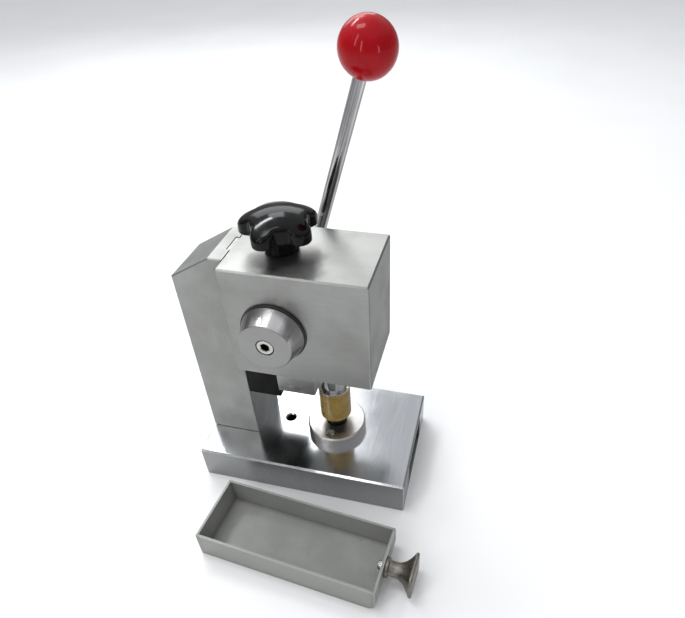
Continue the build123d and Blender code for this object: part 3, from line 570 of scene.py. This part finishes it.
def basis(axis):
    """Three directions at right angles, of which the last is the axis."""
    axis = np.array(axis, dtype=float) / np.linalg.norm(axis)
    helper = (0.0, 0.0, 1.0) if abs(axis[2]) < 0.9 else (1.0, 0.0, 0.0)
    side = np.cross(helper, axis)
    side /= np.linalg.norm(side)
    return side, np.cross(axis, side), axis


def swept(radius, height, place, axis, around):
    """Point = place + radius x (cos a x side + sin a x other) + height x axis."""
    side, other, up = basis(axis)
    angle = np.linspace(0, 2 * math.pi, around, endpoint=False)
    radius = np.broadcast_to(radius, (len(height), around))[..., None]
    circle = np.cos(angle)[None, :, None] * side + np.sin(angle)[None, :, None] * other
    return np.array(place) + radius * circle + np.array(height)[:, None, None] * up


# %% [markdown]
# A turned part is an outline carried round an axis. Real outlines have no perfectly sharp corner:
# each is replaced by a small arc that touches both sides. A helper point just before and after each
# arc keeps the shading of the flat stretches flat.

# %% Helper that rounds an outline
def rounded(outline, radii, closed=False):
    """Each corner becomes an arc: it starts radius / tan(half the angle) before the corner, ends as
    far after it, and its middle lies on the line that halves the angle."""
    outline = np.array(outline, dtype=float)
    count, path = len(outline), []
    for k, radius in enumerate(np.broadcast_to(radii, count)):
        here = outline[k]
        if radius == 0 or (not closed and k in (0, count - 1)):
            path.append(here[None])
            continue
        back, ahead = outline[k - 1] - here, outline[(k + 1) % count] - here
        room = min(np.linalg.norm(back), np.linalg.norm(ahead))
        back, ahead = back / np.linalg.norm(back), ahead / np.linalg.norm(ahead)
        half = math.acos(np.clip(back @ ahead, -1, 1)) / 2
        reach = min(radius / math.tan(half), 0.42 * room)
        radius = reach * math.tan(half)
        centre = here + (back + ahead) / np.linalg.norm(back + ahead) * radius / math.sin(half)
        start, stop = here + back * reach - centre, here + ahead * reach - centre
        sweep = math.pi - 2 * half
        share = np.linspace(0, 1, arc_steps + 1)[:, None]
        bow = np.sin((1 - share) * sweep) * start + np.sin(share * sweep) * stop
        arc = centre + bow / math.sin(sweep)
        path += [(here + back * reach * 1.15)[None], arc, (here + ahead * reach * 1.15)[None]]
    return np.concatenate(path)


def turned(name, outline, radii, place, axis, body, slot, finish, nodes, closed=False,
           around=160):
    """An outline of (radius, height) pairs in millimetres, rounded and turned about an axis."""
    path = rounded(outline, radii, closed) * mm
    grid = swept(path[:, :1], path[:, 1], place, axis, around)
    place_piece(name, [grid], body, slot, finish, nodes, ring=closed)


# %% [markdown]
# ## The lever
# The ball is moulded in red plastic and screws onto the end of a bright round bar. It isn't a whole
# ball: a small flat with a rounded rim lies round the bar. Its outline follows the circle down to
# the flat, steps in to the bar and closes inside. The gloss is a clear coat over a slightly uneven
# skin, which is why its highlight has a soft edge.

# %% Make the ball
shaft_middle = middle("pinion_shaft")
ball_low, ball_high = corners("ball_knob")
ball_radius = (ball_high[0] - ball_low[0]) / 2
ball_middle = (ball_low + ball_high) / 2
ball_middle[2] = ball_high[2] - ball_radius
lever_foot = np.array([shaft_middle[0], ball_middle[1], shaft_middle[2]])
lever_axis = (ball_middle - lever_foot) / np.linalg.norm(ball_middle - lever_foot)

ball_skin, *_ = skin(
    "red_ball_skin", (0.33, 0.002, 0.006), (0.39, 0.003, 0.009), (0.16, 0.30), 3.5 * mm, 0.03 * mm,
    0.012, (0.7, 0.4, 0.4), 0.05, Specular_IOR_Level=0.05, Coat_Weight=0.25, Coat_Roughness=0.06,
)
flat_radius, socket_radius, socket_depth = 8.0, 5.06, 3.0
to_flat = math.pi - math.asin(flat_radius * mm / ball_radius)
from_top = np.linspace(0, to_flat, 96)
bulge = np.stack([np.sin(from_top), np.cos(from_top)], axis=-1) * ball_radius / mm
flat_height = bulge[-1, 1]
socket_end = flat_height + socket_depth
mouth = [[7.6, flat_height - 0.12], [7.0, flat_height - 0.16], [5.3, flat_height - 0.16],
         [socket_radius, flat_height], [socket_radius, socket_end], [0, socket_end]]
path = np.concatenate([bulge, mouth]) * mm
ball_grid = swept(path[:, :1], path[:, 1], ball_middle, lever_axis, 192)
place_piece("lever_ball", [ball_grid], "lever_drive", "red_ball", ball_skin, ["ball_knob"])

# %% [markdown]
# The bar is drawn, ground and chromed. It is only curved one way, so it mirrors its surroundings in
# long streaks. Its marks are drawn out along the bar too, and their two tones are far apart, so the
# marks also paint dark and bright streaks along it: a painted reflection laid over the lit one, so
# the streaks aren't too clean.

# %% Make the bar
rod_start, rod_end, rod_radius = 9.0, 180.0, 5.0
# Dark and light tones far apart: the drawn lines are real marks that also paint streaks of reflection along the
# bar.
bright_bar = metal(
    "bright_bar", (0.13, 0.125, 0.13), (0.72, 0.71, 0.72), (0.07, 0.18),
    drawn_along(lever_foot, lever_axis, 900.0, 330.0), 0.01 * mm, None, 0.02,
)
bar_outline = [(0, rod_start), (rod_radius, rod_start), (rod_radius, rod_end), (0, rod_end)]
turned("lever_bar", bar_outline, 0.6, lever_foot, lever_axis, "lever_drive", "chrome_rod",
       bright_bar, ["lever_rod"])

# %% [markdown]
# ## The cap on the side
# A turned cone closes the shaft's end: wide against the head, narrower at its face, with a deep
# recess for a screw. Its outline is a closed loop, since a hole runs through it. The rings of the
# lathe show on the face, with a painted sheen in a fan round its middle. The face is darker than
# the cone behind it.

# %% Make the cap and its washer
cap_low, cap_high = corners("side_cap")
cap_back = np.array([shaft_middle[0], cap_high[1], shaft_middle[2]])
cap_depth = (cap_high[1] - cap_low[1]) / mm
near_side = (0.0, -1.0, 0.0)
cap_steel = turned_steel(
    "cap_steel", cap_back, sideways, (0.40, 0.385, 0.39), (0.62, 0.60, 0.605), (0.14, 0.26),
    sides=(1, cap_low[1] + 0.45 * mm, cap_low[1] + 0.15 * mm, (0.275, 0.272, 0.27)),
)
recess_floor = cap_depth - 8.16
web = 4.0
cap_outline = [
    (25.0, 0), (20.0, cap_depth), (7.0, cap_depth), (7.0, recess_floor), (4.5, recess_floor),
    (4.5, recess_floor - web), (8.02, recess_floor - web), (8.02, 0),
]
cap_radii = (0.8, 0.7, 0.4, 0.3, 0.2, 0.2, 0.2, 0.3)
turned("side_cap_turned", cap_outline, cap_radii, cap_back, near_side, "lever_drive",
       "turned_steel", cap_steel, ["side_cap"], closed=True, around=192)

# The washer is near-black, so the line between the cap and the head reads dark.
washer_skin, *_ = skin(
    "near_black_washer", (0.008, 0.008, 0.008), (0.022, 0.022, 0.022), (0.42, 0.62),
    1.0 * mm, 0.02 * mm, 0.01,
)
washer_low, washer_high = corners("cap_washer")
washer_back = np.array([shaft_middle[0], washer_high[1], shaft_middle[2]])
washer_thick = (washer_high[1] - washer_low[1]) / mm
washer_outline = [(25.8, 0), (25.8, washer_thick), (8.1, washer_thick), (8.1, 0)]
turned("side_cap_washer", washer_outline, 0.35, washer_back, near_side, "lever_drive",
       "black_washer", washer_skin, ["cap_washer"], closed=True, around=192)

# %% [markdown]
# ## Socket screws
# All the screws are the same shape at different sizes, so one function makes them all. It fills a
# grid of radii, one row per height and one column per angle. Plain rows are circles. Thread rows
# add a ramp that climbs one pitch in each turn, the head's side adds the ripple of its knurling,
# and the rows inside the socket follow a hexagon.

# %% Helper that makes a socket screw
screw_columns = 144


def head_radius(size):
    """Radius of the head of a socket screw, in millimetres."""
    return 0.75 * size + 0.5


def socket_screw(seat, axis, size, length):
    """Grid of one screw. Seat is the underside of its head, and the axis points out of the head.

    Size and length are in millimetres.
    Hexagon: radius = apothem / cos(angle from the middle of the nearest flat).
    Thread: radius = half size - depth x |2 x fraction(height / pitch + turn) - 1|, over the last
    two sizes and 12 mm of the screw, as on bought screws. The rest of the shank is plain.
    """
    angle = np.linspace(0, 2 * math.pi, screw_columns, endpoint=False)
    head = head_radius(size)
    hexagon = 0.4 * size / np.cos((angle + math.pi / 6) % (math.pi / 3) - math.pi / 6)
    knurl = head * (1 - 0.018 * (1 + np.cos(36 * angle)))
    pitch, depth = 0.16 * size, 0.05 * size
    thread_end = min(-0.5 * size, -length + 2 * size + 12)
    threads = np.arange(-length + 0.14 * size, thread_end, pitch / 4)
    ramps = np.abs(2 * ((threads[:, None] / pitch + angle / (2 * math.pi)) % 1) - 1)
    rows = [(0, -length), (0.38 * size, -length)]
    rows += [(size / 2 - depth * ramp_row, height) for ramp_row, height in zip(ramps, threads)]
    rows += [(size / 2, thread_end + 0.08 * size), (size / 2, 0.0)]
    # The head, from its underside up its knurled side and down into the socket.
    rows += [
        (head - 0.04 * size, 0.0), (head, 0.04 * size), (head, 0.1 * size),
        (knurl, 0.13 * size), (knurl, 0.8 * size), (head, 0.83 * size), (head, 0.91 * size),
        (head - 0.03 * size, 0.975 * size), (head - 0.09 * size, size), (head - 0.12 * size, size),
        (0.52 * size, size), (0.5 * size, size), (hexagon * 1.01, 0.94 * size),
        (hexagon, 0.92 * size), (hexagon, 0.47 * size), (hexagon * 0.96, 0.45 * size),
        (0, 0.36 * size),
    ]
    radius = np.array([np.broadcast_to(row, screw_columns) for row, _ in rows]) * mm
    height = np.array([height for _, height in rows]) * mm
    return swept(radius, height, seat, axis, screw_columns)


def screw_set(name, node, axis, size, body, slot, finish):
    """Makes the screws of one solid. Their middles lie a head's radius inside the box's sides."""
    low, high = corners(node)
    axis = np.array(axis, dtype=float)
    head = head_radius(size) * mm
    run = int(np.argmax(np.abs(axis)))
    total = high[run] - low[run]
    seat = (high[run] if axis[run] > 0 else low[run]) - axis[run] * size * mm
    across = [k for k in range(3) if k != run]
    spots = [sorted({round(low[k] + head, 5), round(high[k] - head, 5)}) for k in across]
    grids = []
    for first in spots[0]:
        for second in spots[1]:
            place = np.zeros(3)
            place[run], place[across[0]], place[across[1]] = seat, first, second
            grids.append(socket_screw(place, axis, size, total / mm - size))
    print(name, "has", len(grids), "screws")
    place_piece(name, grids, body, slot, finish, [node])


# %% Make the screws
m6, m8 = 6.0, 8.0
zinc_look, oxide_look = ("zinc_screw", plated_screw), ("black_oxide", oxide_screw)
shaded_look = ("zinc_screw", shaded_screw)
screw_set("cap_socket_screw", "cap_screw", (0, -1, 0), m8, "lever_drive", *shaded_look)
screw_set("die_socket_screws", "anvil_screws", (0, 0, 1), m6, "frame", *zinc_look)
screw_set("head_socket_screws", "head_screws", (-1, 0, 0), m8, "frame", *oxide_look)
screw_set("base_socket_screws", "column_screws", (0, 0, -1), m8, "frame", *oxide_look)
screw_set("block_socket_screws", "support_screws", (1, 0, 0), m6, "frame", *oxide_look)
screw_set("hub_socket_screw", "hub_end_screw", (0, 1, 0), m6, "lever_drive", *zinc_look)

# %% [markdown]
# ## Punch, sleeve and ring
# The punch hangs from the ram inside a sleeve of amber elastomer, which strips the work off it.
# Cast elastomer lets a little light in, so its colour glows where it is thin. A small subsurface
# weight does that. A plain metal ring lies on the sleeve's upper end.

# %% Make the tooling on the ram
def sleeve_like(name, node, outline, radii, slot, finish, closed):
    """A piece turned about the ram's axis, with heights measured up from its solid's underside."""
    low, _ = corners(node)
    foot = np.array([0.0, 0.0, low[2]])
    turned(name, outline, radii, foot, (0, 0, 1), "ram_slide_body", slot, finish, [node],
           closed, 144)


amber, *_ = skin(
    "amber_elastomer", (0.25, 0.155, 0.022), (0.36, 0.24, 0.045), (0.24, 0.42),
    1.6 * mm, 0.03 * mm, 0.01, (0.5, 0.45, 0.35), 0.12,
    Subsurface_Weight=0.15, Subsurface_Scale=0.002, Coat_Weight=0.3, Coat_Roughness=0.12,
)
# The punch is near-black, so its tip between the sleeve and the die reads dark.
black_punch = metal(
    "near_black_punch", (0.003, 0.003, 0.003), (0.008, 0.0075, 0.007), (0.26, 0.42),
    turned_on(middle("punch"), upright), 0.01 * mm, None, 0.01,
    Metallic=0.2, Specular_IOR_Level=0.08,
)
sleeve_low, sleeve_high = corners("stripper_sleeve")
sleeve_tall = (sleeve_high[2] - sleeve_low[2]) / mm
sleeve_bore, sleeve_radius, ring_tall = 11.02, 14.0, 1.5
punch_radius, punch_tall, shank_radius, shank_end = 9.5, 11, 5, 26


def tube(tall):
    """Outline of a tube of the sleeve's width."""
    return [(sleeve_bore, 0), (sleeve_radius, 0), (sleeve_radius, tall), (sleeve_bore, tall)]


punch_outline = [
    (0, 0), (punch_radius, 0), (punch_radius, punch_tall), (shank_radius, punch_tall),
    (shank_radius, shank_end), (0, shank_end),
]
sleeve_like("amber_sleeve", "stripper_sleeve", tube(sleeve_tall), (0.4, 2.2, 0.5, 0.4),
            "amber_sleeve", amber, True)
sleeve_like("sleeve_cap_ring", "sleeve_ring", tube(ring_tall), (0.2, 0.25, 0.4, 0.2),
            "turned_steel", ring_steel, True)
sleeve_like("round_punch", "punch", punch_outline, (0, 0.3, 0.3, 0.2, 0.8, 0),
            "black_punch", black_punch, False)

# %% [markdown]
# ## The star knob
# The knob is pressed from black plastic: five lobes round a core, under one shallow dome. Seen from
# above its outline is made of arcs that touch: an arc over each lobe, a small hollow arc into each
# valley, and a bit of the core's circle. Every column of the grid starts at one point of that
# outline. The rows climb the hub, spread under the lobes, turn over their rounded rim, and run up
# the dome to its middle.

# %% Work out the star's outline
star_low, star_high = corners("star_knob")
star_place = np.array([shaft_middle[0], 0.0, star_low[2]])
lobe_count, lobe_phase = 5, math.radians(44.0)
lobe_radius, lobe_reach, core_radius, valley_radius = 8.5, 21.5, 21.5, 4.0
per_arc = 16


def arc_points(centre, radius, start, stop, count):
    """Points on a circle from one angle towards another, without the last."""
    angle = np.linspace(start, stop, count, endpoint=False)
    return np.array(centre) + radius * np.stack([np.cos(angle), np.sin(angle)], axis=-1)


def spun(points, angle):
    """Points of a flat outline, turned about its middle."""
    cos, sin = math.cos(angle), math.sin(angle)
    return points @ np.array([[cos, sin], [-sin, cos]])


# The middle of a valley's arc is found from the triangle of the three middles: core, lobe, valley.
valley_reach = core_radius + valley_radius
turn_to_valley = math.acos(
    (valley_reach**2 + lobe_reach**2 - (lobe_radius + valley_radius) ** 2)
    / (2 * valley_reach * lobe_reach)
)
valley = valley_reach * np.array([math.cos(turn_to_valley), math.sin(turn_to_valley)])
lobe_end = math.atan2(valley[1], valley[0] - lobe_reach)
from_lobe = 2 * math.pi + math.atan2(-valley[1], lobe_reach - valley[0])
from_core = math.pi + turn_to_valley
lobe_gap = 2 * math.pi / lobe_count
mirrored = arc_points(valley, valley_radius, from_core, from_lobe, per_arc) * (1, -1)
sector = np.concatenate([
    arc_points((lobe_reach, 0), lobe_radius, -lobe_end, lobe_end, 3 * per_arc),
    arc_points(valley, valley_radius, from_lobe, from_core, per_arc),
    arc_points((0, 0), core_radius, turn_to_valley, lobe_gap - turn_to_valley, per_arc // 2),
    spun(mirrored, lobe_gap),
])
outline = np.concatenate([spun(sector, lobe_phase + lobe_gap * k) for k in range(lobe_count)])
step = np.roll(outline, -1, axis=0) - np.roll(outline, 1, axis=0)
inward = np.stack([-step[:, 1], step[:, 0]], -1) / np.linalg.norm(step, axis=1)[:, None]
outline_reach = np.linalg.norm(outline, axis=1)
print("outline has", len(outline), "points, reaching", round(outline_reach.max(), 2), "mm")

# %% Carry the outline over the knob
hub_radius, hub_height, rim_height = 13.0, 13.5, 22.0
under_round, top_round = 1.6, 2.8
crown_height = (star_high[2] - star_low[2]) / mm
lobe_top = lobe_reach + lobe_radius
dome_rise = crown_height - rim_height
dome_radius = (lobe_top**2 + dome_rise**2) / (2 * dome_rise)
direction = outline / outline_reach[:, None]


def dome(points):
    """Crown height less what a ball of the dome's radius falls by, that far from its top."""
    out = np.linalg.norm(points, axis=1)
    return crown_height - dome_radius + np.sqrt(dome_radius**2 - out**2)


def lifted(points, height):
    """A row of the grid: flat points with one height, or with a height each."""
    return np.column_stack([points, np.broadcast_to(height, len(points))])


quarter = math.pi / 2
hub_outline = [(0, 0), (hub_radius - 0.6, 0), (hub_radius, 0.8), (hub_radius, hub_height - 1)]
rows = [lifted(direction * radius, height) for radius, height in rounded(hub_outline, 0.3)]
# Out from the hub under the lobes.
under = outline + inward * under_round
for share in np.linspace(0, 1, 9)[1:]:
    spread = direction * hub_radius * (1 - share) + under * share
    rows.append(lifted(spread, hub_height - math.cos(share * quarter) ** 2))
# Round the lower edge, up the side and round the upper edge.
for turn in np.linspace(0, quarter, 7)[1:]:
    edge_points = outline + inward * under_round * (1 - math.sin(turn))
    rows.append(lifted(edge_points, hub_height + under_round * (1 - math.cos(turn))))
side_top = dome(outline) - top_round
rows.append(lifted(outline, (side_top + hub_height + under_round) / 2))
for turn in np.linspace(0, quarter, 11):
    edge_points = outline + inward * top_round * (1 - math.cos(turn))
    rows.append(lifted(edge_points, dome(edge_points) - top_round * (1 - math.sin(turn))))
# Over the dome to its middle.
dome_edge = outline + inward * top_round
for share in np.linspace(1, 0, 22)[1:]:
    rows.append(lifted(dome_edge * share, dome(dome_edge * share)))
star_grid = np.stack(rows) * mm + star_place

star_skin, *_ = skin(
    "black_moulded", (0.001, 0.001, 0.0011), (0.003, 0.003, 0.0033), (0.10, 0.18),
    4.0 * mm, 0.05 * mm, 0.015, (0.3, 0.3, 0.3), 0.02, Specular_IOR_Level=0.18,
)
place_piece("star_grip", [star_grid], "brake_knob", "black_plastic", star_skin, ["star_knob"])

# %% [markdown]
# ## The drawer
# The drawer is bent from painted sheet. Its shape is already right in the solid, but real sheet has
# no knife edges. A copy of its mesh is merged, its flat triangles are joined into whole faces, and
# a small bevel rounds what is left. The solid itself isn't touched.

# %% Find the drawer's own directions
drawer_joint = next(j for j in frame["joints"] if j["name"] == "drawer_pull")
drawer_along = np.array(drawer_joint["axis"], dtype=float)
drawer_along /= np.linalg.norm(drawer_along)
drawer_across = np.array([-drawer_along[1], drawer_along[0], 0.0])
drawer_turn = math.atan2(drawer_along[1], drawer_along[0])
tray_low, tray_high = corners("tray")
tray_length, tray_width = 152.0, 55.6
tray_size = np.array([tray_length, tray_width, (tray_high[2] - tray_low[2]) / mm]) * mm
tray_corner = np.array([tray_low[0], tray_high[1] - tray_size[1] * drawer_across[1], 0.0])
print("drawer turned by", round(math.degrees(drawer_turn), 2), "degrees")
print("its corner is at", np.round(tray_corner / mm, 1), "mm")

# %% [markdown]
# Its grey paint is rubbed through to a paler tone along the rim, and it is darker along the inside
# corners, where the walls meet the floor and each other. Both are distances to the edges of a box,
# so the edge wear group serves twice: once with the outer corners and once with the inner ones.

# %% Paint and make the drawer
drawer_paint, tree, shader, place, colour = skin(
    "drawer_paint", (0.245, 0.250, 0.235), (0.295, 0.300, 0.285), (0.34, 0.50),
    1.4 * mm, 0.035 * mm, 0.035, (0.16, 0.14, 0.12), 0.25,
)
wall = 2 * mm
no_lid = 0.1  # the inner box ends far above the rim, so that the rim isn't darkened
local = seen_from(tree, place, tray_corner, (0.0, 0.0, drawer_turn))
rubbed = near_edge(tree, local, (0, 0, 0), tray_size, 0.9 * mm)
inner_corner_dark = near_edge(tree, local, (wall, wall, wall), tray_size - (wall, wall, -no_lid), 4.0 * mm)
# Darker along the inside corners, where the walls meet the floor and each other.
colour = over(tree, colour, inner_corner_dark, 0.32, (0.13, 0.12, 0.105))
colour = over(tree, colour, rubbed, 0.55, (0.42, 0.42, 0.40))
tree.links.new(colour, shader.inputs["Base Color"])

sheet = frame["nodes"]["tray"].data.copy()
shell = bmesh.new()
shell.from_mesh(sheet)
bmesh.ops.remove_doubles(shell, verts=shell.verts, dist=merge_distance)
bmesh.ops.dissolve_limit(shell, angle_limit=math.radians(1), verts=shell.verts, edges=shell.edges)
bmesh.ops.recalc_face_normals(shell, faces=shell.faces)
shell.to_mesh(sheet)
shell.free()
drawer = dress("drawer_sheet", sheet, "drawer", drawer_paint, ["tray"])
soften = drawer.modifiers.new("soft_edges", "BEVEL")
soften.width = 0.55 * mm
soften.segments = 3
soften.limit_method = "ANGLE"
soften.angle_limit = math.radians(50)
soften.harden_normals = True

# %% [markdown]
# The pull is an old nickelled casting: a round collar and neck that flare into a square face. The
# cross-section of each row is a curve between a circle and a square, where |x|^n + |y|^n stays the
# same all round. With n at 2 it is a circle, and the larger n grows, the squarer it gets.

# %% Make the pull
aged_nickel = metal(
    "aged_nickel", (0.15, 0.135, 0.115), (0.27, 0.25, 0.225), (0.34, 0.56),
    ground((1, 1, 1), 420.0, 120.0), 0.06 * mm, None, 0.012, (0.6, 0.52, 0.44),
)
pull_middle = tray_corner + drawer_along * tray_size[0] + drawer_across * tray_size[1] / 2
pull_middle[2] = middle("tray_knob")[2]
# Rows of (distance out from the drawer, half width, squareness n).
collar_rows = [
    (0, 0, 2), (0, 7.6, 2), (0.3, 7.95, 2), (0.6, 8, 2), (2.2, 8, 2), (2.7, 7.8, 2),
    (3.0, 7.2, 2), (3.2, 6.2, 2), (3.8, 6.0, 2),
]
flare = np.linspace(0, 1, 26)
flare_rows = np.stack([9.0 + 12.6 * flare, 6.0 + 7.5 * flare**2.3, 2 + 5.0 * flare**1.5], axis=1)
face_rows = [
    (22.0, 13.6, 7.2), (23.2, 13.6, 7.4), (23.7, 13.3, 7.4), (23.95, 12.7, 7.4),
    (24.1, 11.6, 7.0), (24.25, 9.5, 5.0), (24.4, 6.0, 3.4), (24.5, 2.5, 2.4), (24.5, 0, 2),
]
pull_rows = np.concatenate([collar_rows, flare_rows, face_rows]) * (mm, mm, 1)
out_from, half_width, squareness = (pull_rows[:, k:k + 1] for k in range(3))
angle = np.linspace(0, 2 * math.pi, 144, endpoint=False)


def squared(wave):
    """A cosine or sine pulled towards the sides of a square, times the half width."""
    return np.sign(wave) * np.abs(wave) ** (2 / squareness) * half_width


pull_grid = (pull_middle + out_from[..., None] * drawer_along
             + squared(np.cos(angle))[..., None] * drawer_across
             + squared(np.sin(angle))[..., None] * np.array([0, 0, 1.0]))
place_piece("drawer_pull_casting", [pull_grid], "drawer", "knob_metal", aged_nickel, ["tray_knob"])

m4, pull_screw_length = 4.0, 15.0
pull_screw_seat = pull_middle - drawer_along * wall
screw_grid = socket_screw(pull_screw_seat, -drawer_along, m4, pull_screw_length)
place_piece("pull_socket_screw", [screw_grid], "drawer", *zinc_look, ["tray_knob_screw"])

# %% [markdown]
# ## The stage
# Metal shows what is around it, so its surroundings are lit on purpose. The room is bright overhead
# and grey at the sides. One panel hangs over the press. Three windows stand behind it, which the
# polished base throws back to the camera. Three tall strips stand in front, for the thin highlights
# on the round parts. The floor is plain and pale.

# %% Lay the floor
floor_mesh = bpy.data.meshes.new("floor")
half_side = 9.0
floor_corners = [(x * half_side, y * half_side, 0) for x, y in ((-1, -1), (1, -1), (1, 1), (-1, 1))]
floor_mesh.from_pydata(floor_corners, [], [(0, 1, 2, 3)])
floor = bpy.data.objects.new("floor", floor_mesh)
floor.location.z = -0.05 * mm  # a hair below the base, so that the two faces don't fight
bpy.context.scene.collection.objects.link(floor)
floor_finish, tree, shader, place = new_finish("pale_floor")
mottle = noise(tree, place, 5.0, 3.0, 0.5)
floor_colour = blend(tree, mottle, (0.86, 0.86, 0.86, 1), (0.90, 0.90, 0.90, 1))
tree.links.new(floor_colour, shader.inputs["Base Color"])
tree.links.new(ramp(tree, mottle, 0.3, 0.7, 0.55, 0.7), shader.inputs["Roughness"])
floor_mesh.materials.append(floor_finish)

# %% Light the room
world = bpy.data.worlds.new("pale_room")
bpy.context.scene.world = world
world.use_nodes = True
tree = world.node_tree
background = next(n for n in tree.nodes if n.type == "BACKGROUND")
bright_way = Vector((-0.05, 0.15, 0.98)).normalized()
direction_up = put(tree, "TexCoord").outputs["Generated"]
facing = put(tree, "VectorMath", {"operation": "DOT_PRODUCT"}, {0: direction_up, 1: bright_way})
overhead = ramp(tree, facing.outputs["Value"], 0.30, 0.80)
room_colour = blend(tree, overhead, (0.30, 0.30, 0.305, 1), (0.85, 0.87, 0.90, 1))
tree.links.new(room_colour, background.inputs["Color"])
background.inputs["Strength"].default_value = 1.0


def soft_panel(name, place, aim, width, height, watts, tint=(1, 1, 1)):
    """A rectangle of soft light that faces its aim. Places and sides are in metres."""
    light = bpy.data.lights.new(name, "AREA")
    light.shape = "RECTANGLE"
    light.size, light.size_y = width, height
    light.energy = watts
    light.color = tint
    panel = bpy.data.objects.new(name, light)
    panel.location = place
    panel.rotation_euler = (Vector(aim) - Vector(place)).to_track_quat("-Z", "Y").to_euler()
    bpy.context.scene.collection.objects.link(panel)


pale_day, cold_day = (0.96, 0.99, 1.0), (0.94, 0.98, 1.0)
soft_panel("overhead_panel", (-0.35, 0.0, 1.5), (0, 0, 0.1), 0.35, 0.5, 5.0)
soft_panel("hall_window", (-0.55, 1.08, 1.36), (0, 0, 0.05), 0.42, 0.34, 2.4, pale_day)
soft_panel("side_window", (-0.93, 0.74, 1.60), (-0.03, 0, 0.25), 0.70, 0.12, 10.0, cold_day)
soft_panel("low_window", (-0.65, 1.42, 1.02), (0, 0, 0.2), 1.2, 0.6, 5.5)
soft_panel("front_strip", (-0.25, -1.28, 0.75), (0, 0, 0.2), 0.09, 0.8, 2.2)
soft_panel("left_strip", (-0.68, -0.90, 1.05), (0, 0, 0.2), 0.09, 0.9, 2.4)
soft_panel("right_strip", (1.10, -0.74, 0.45), (0, 0, 0.25), 0.08, 0.5, 0.8)
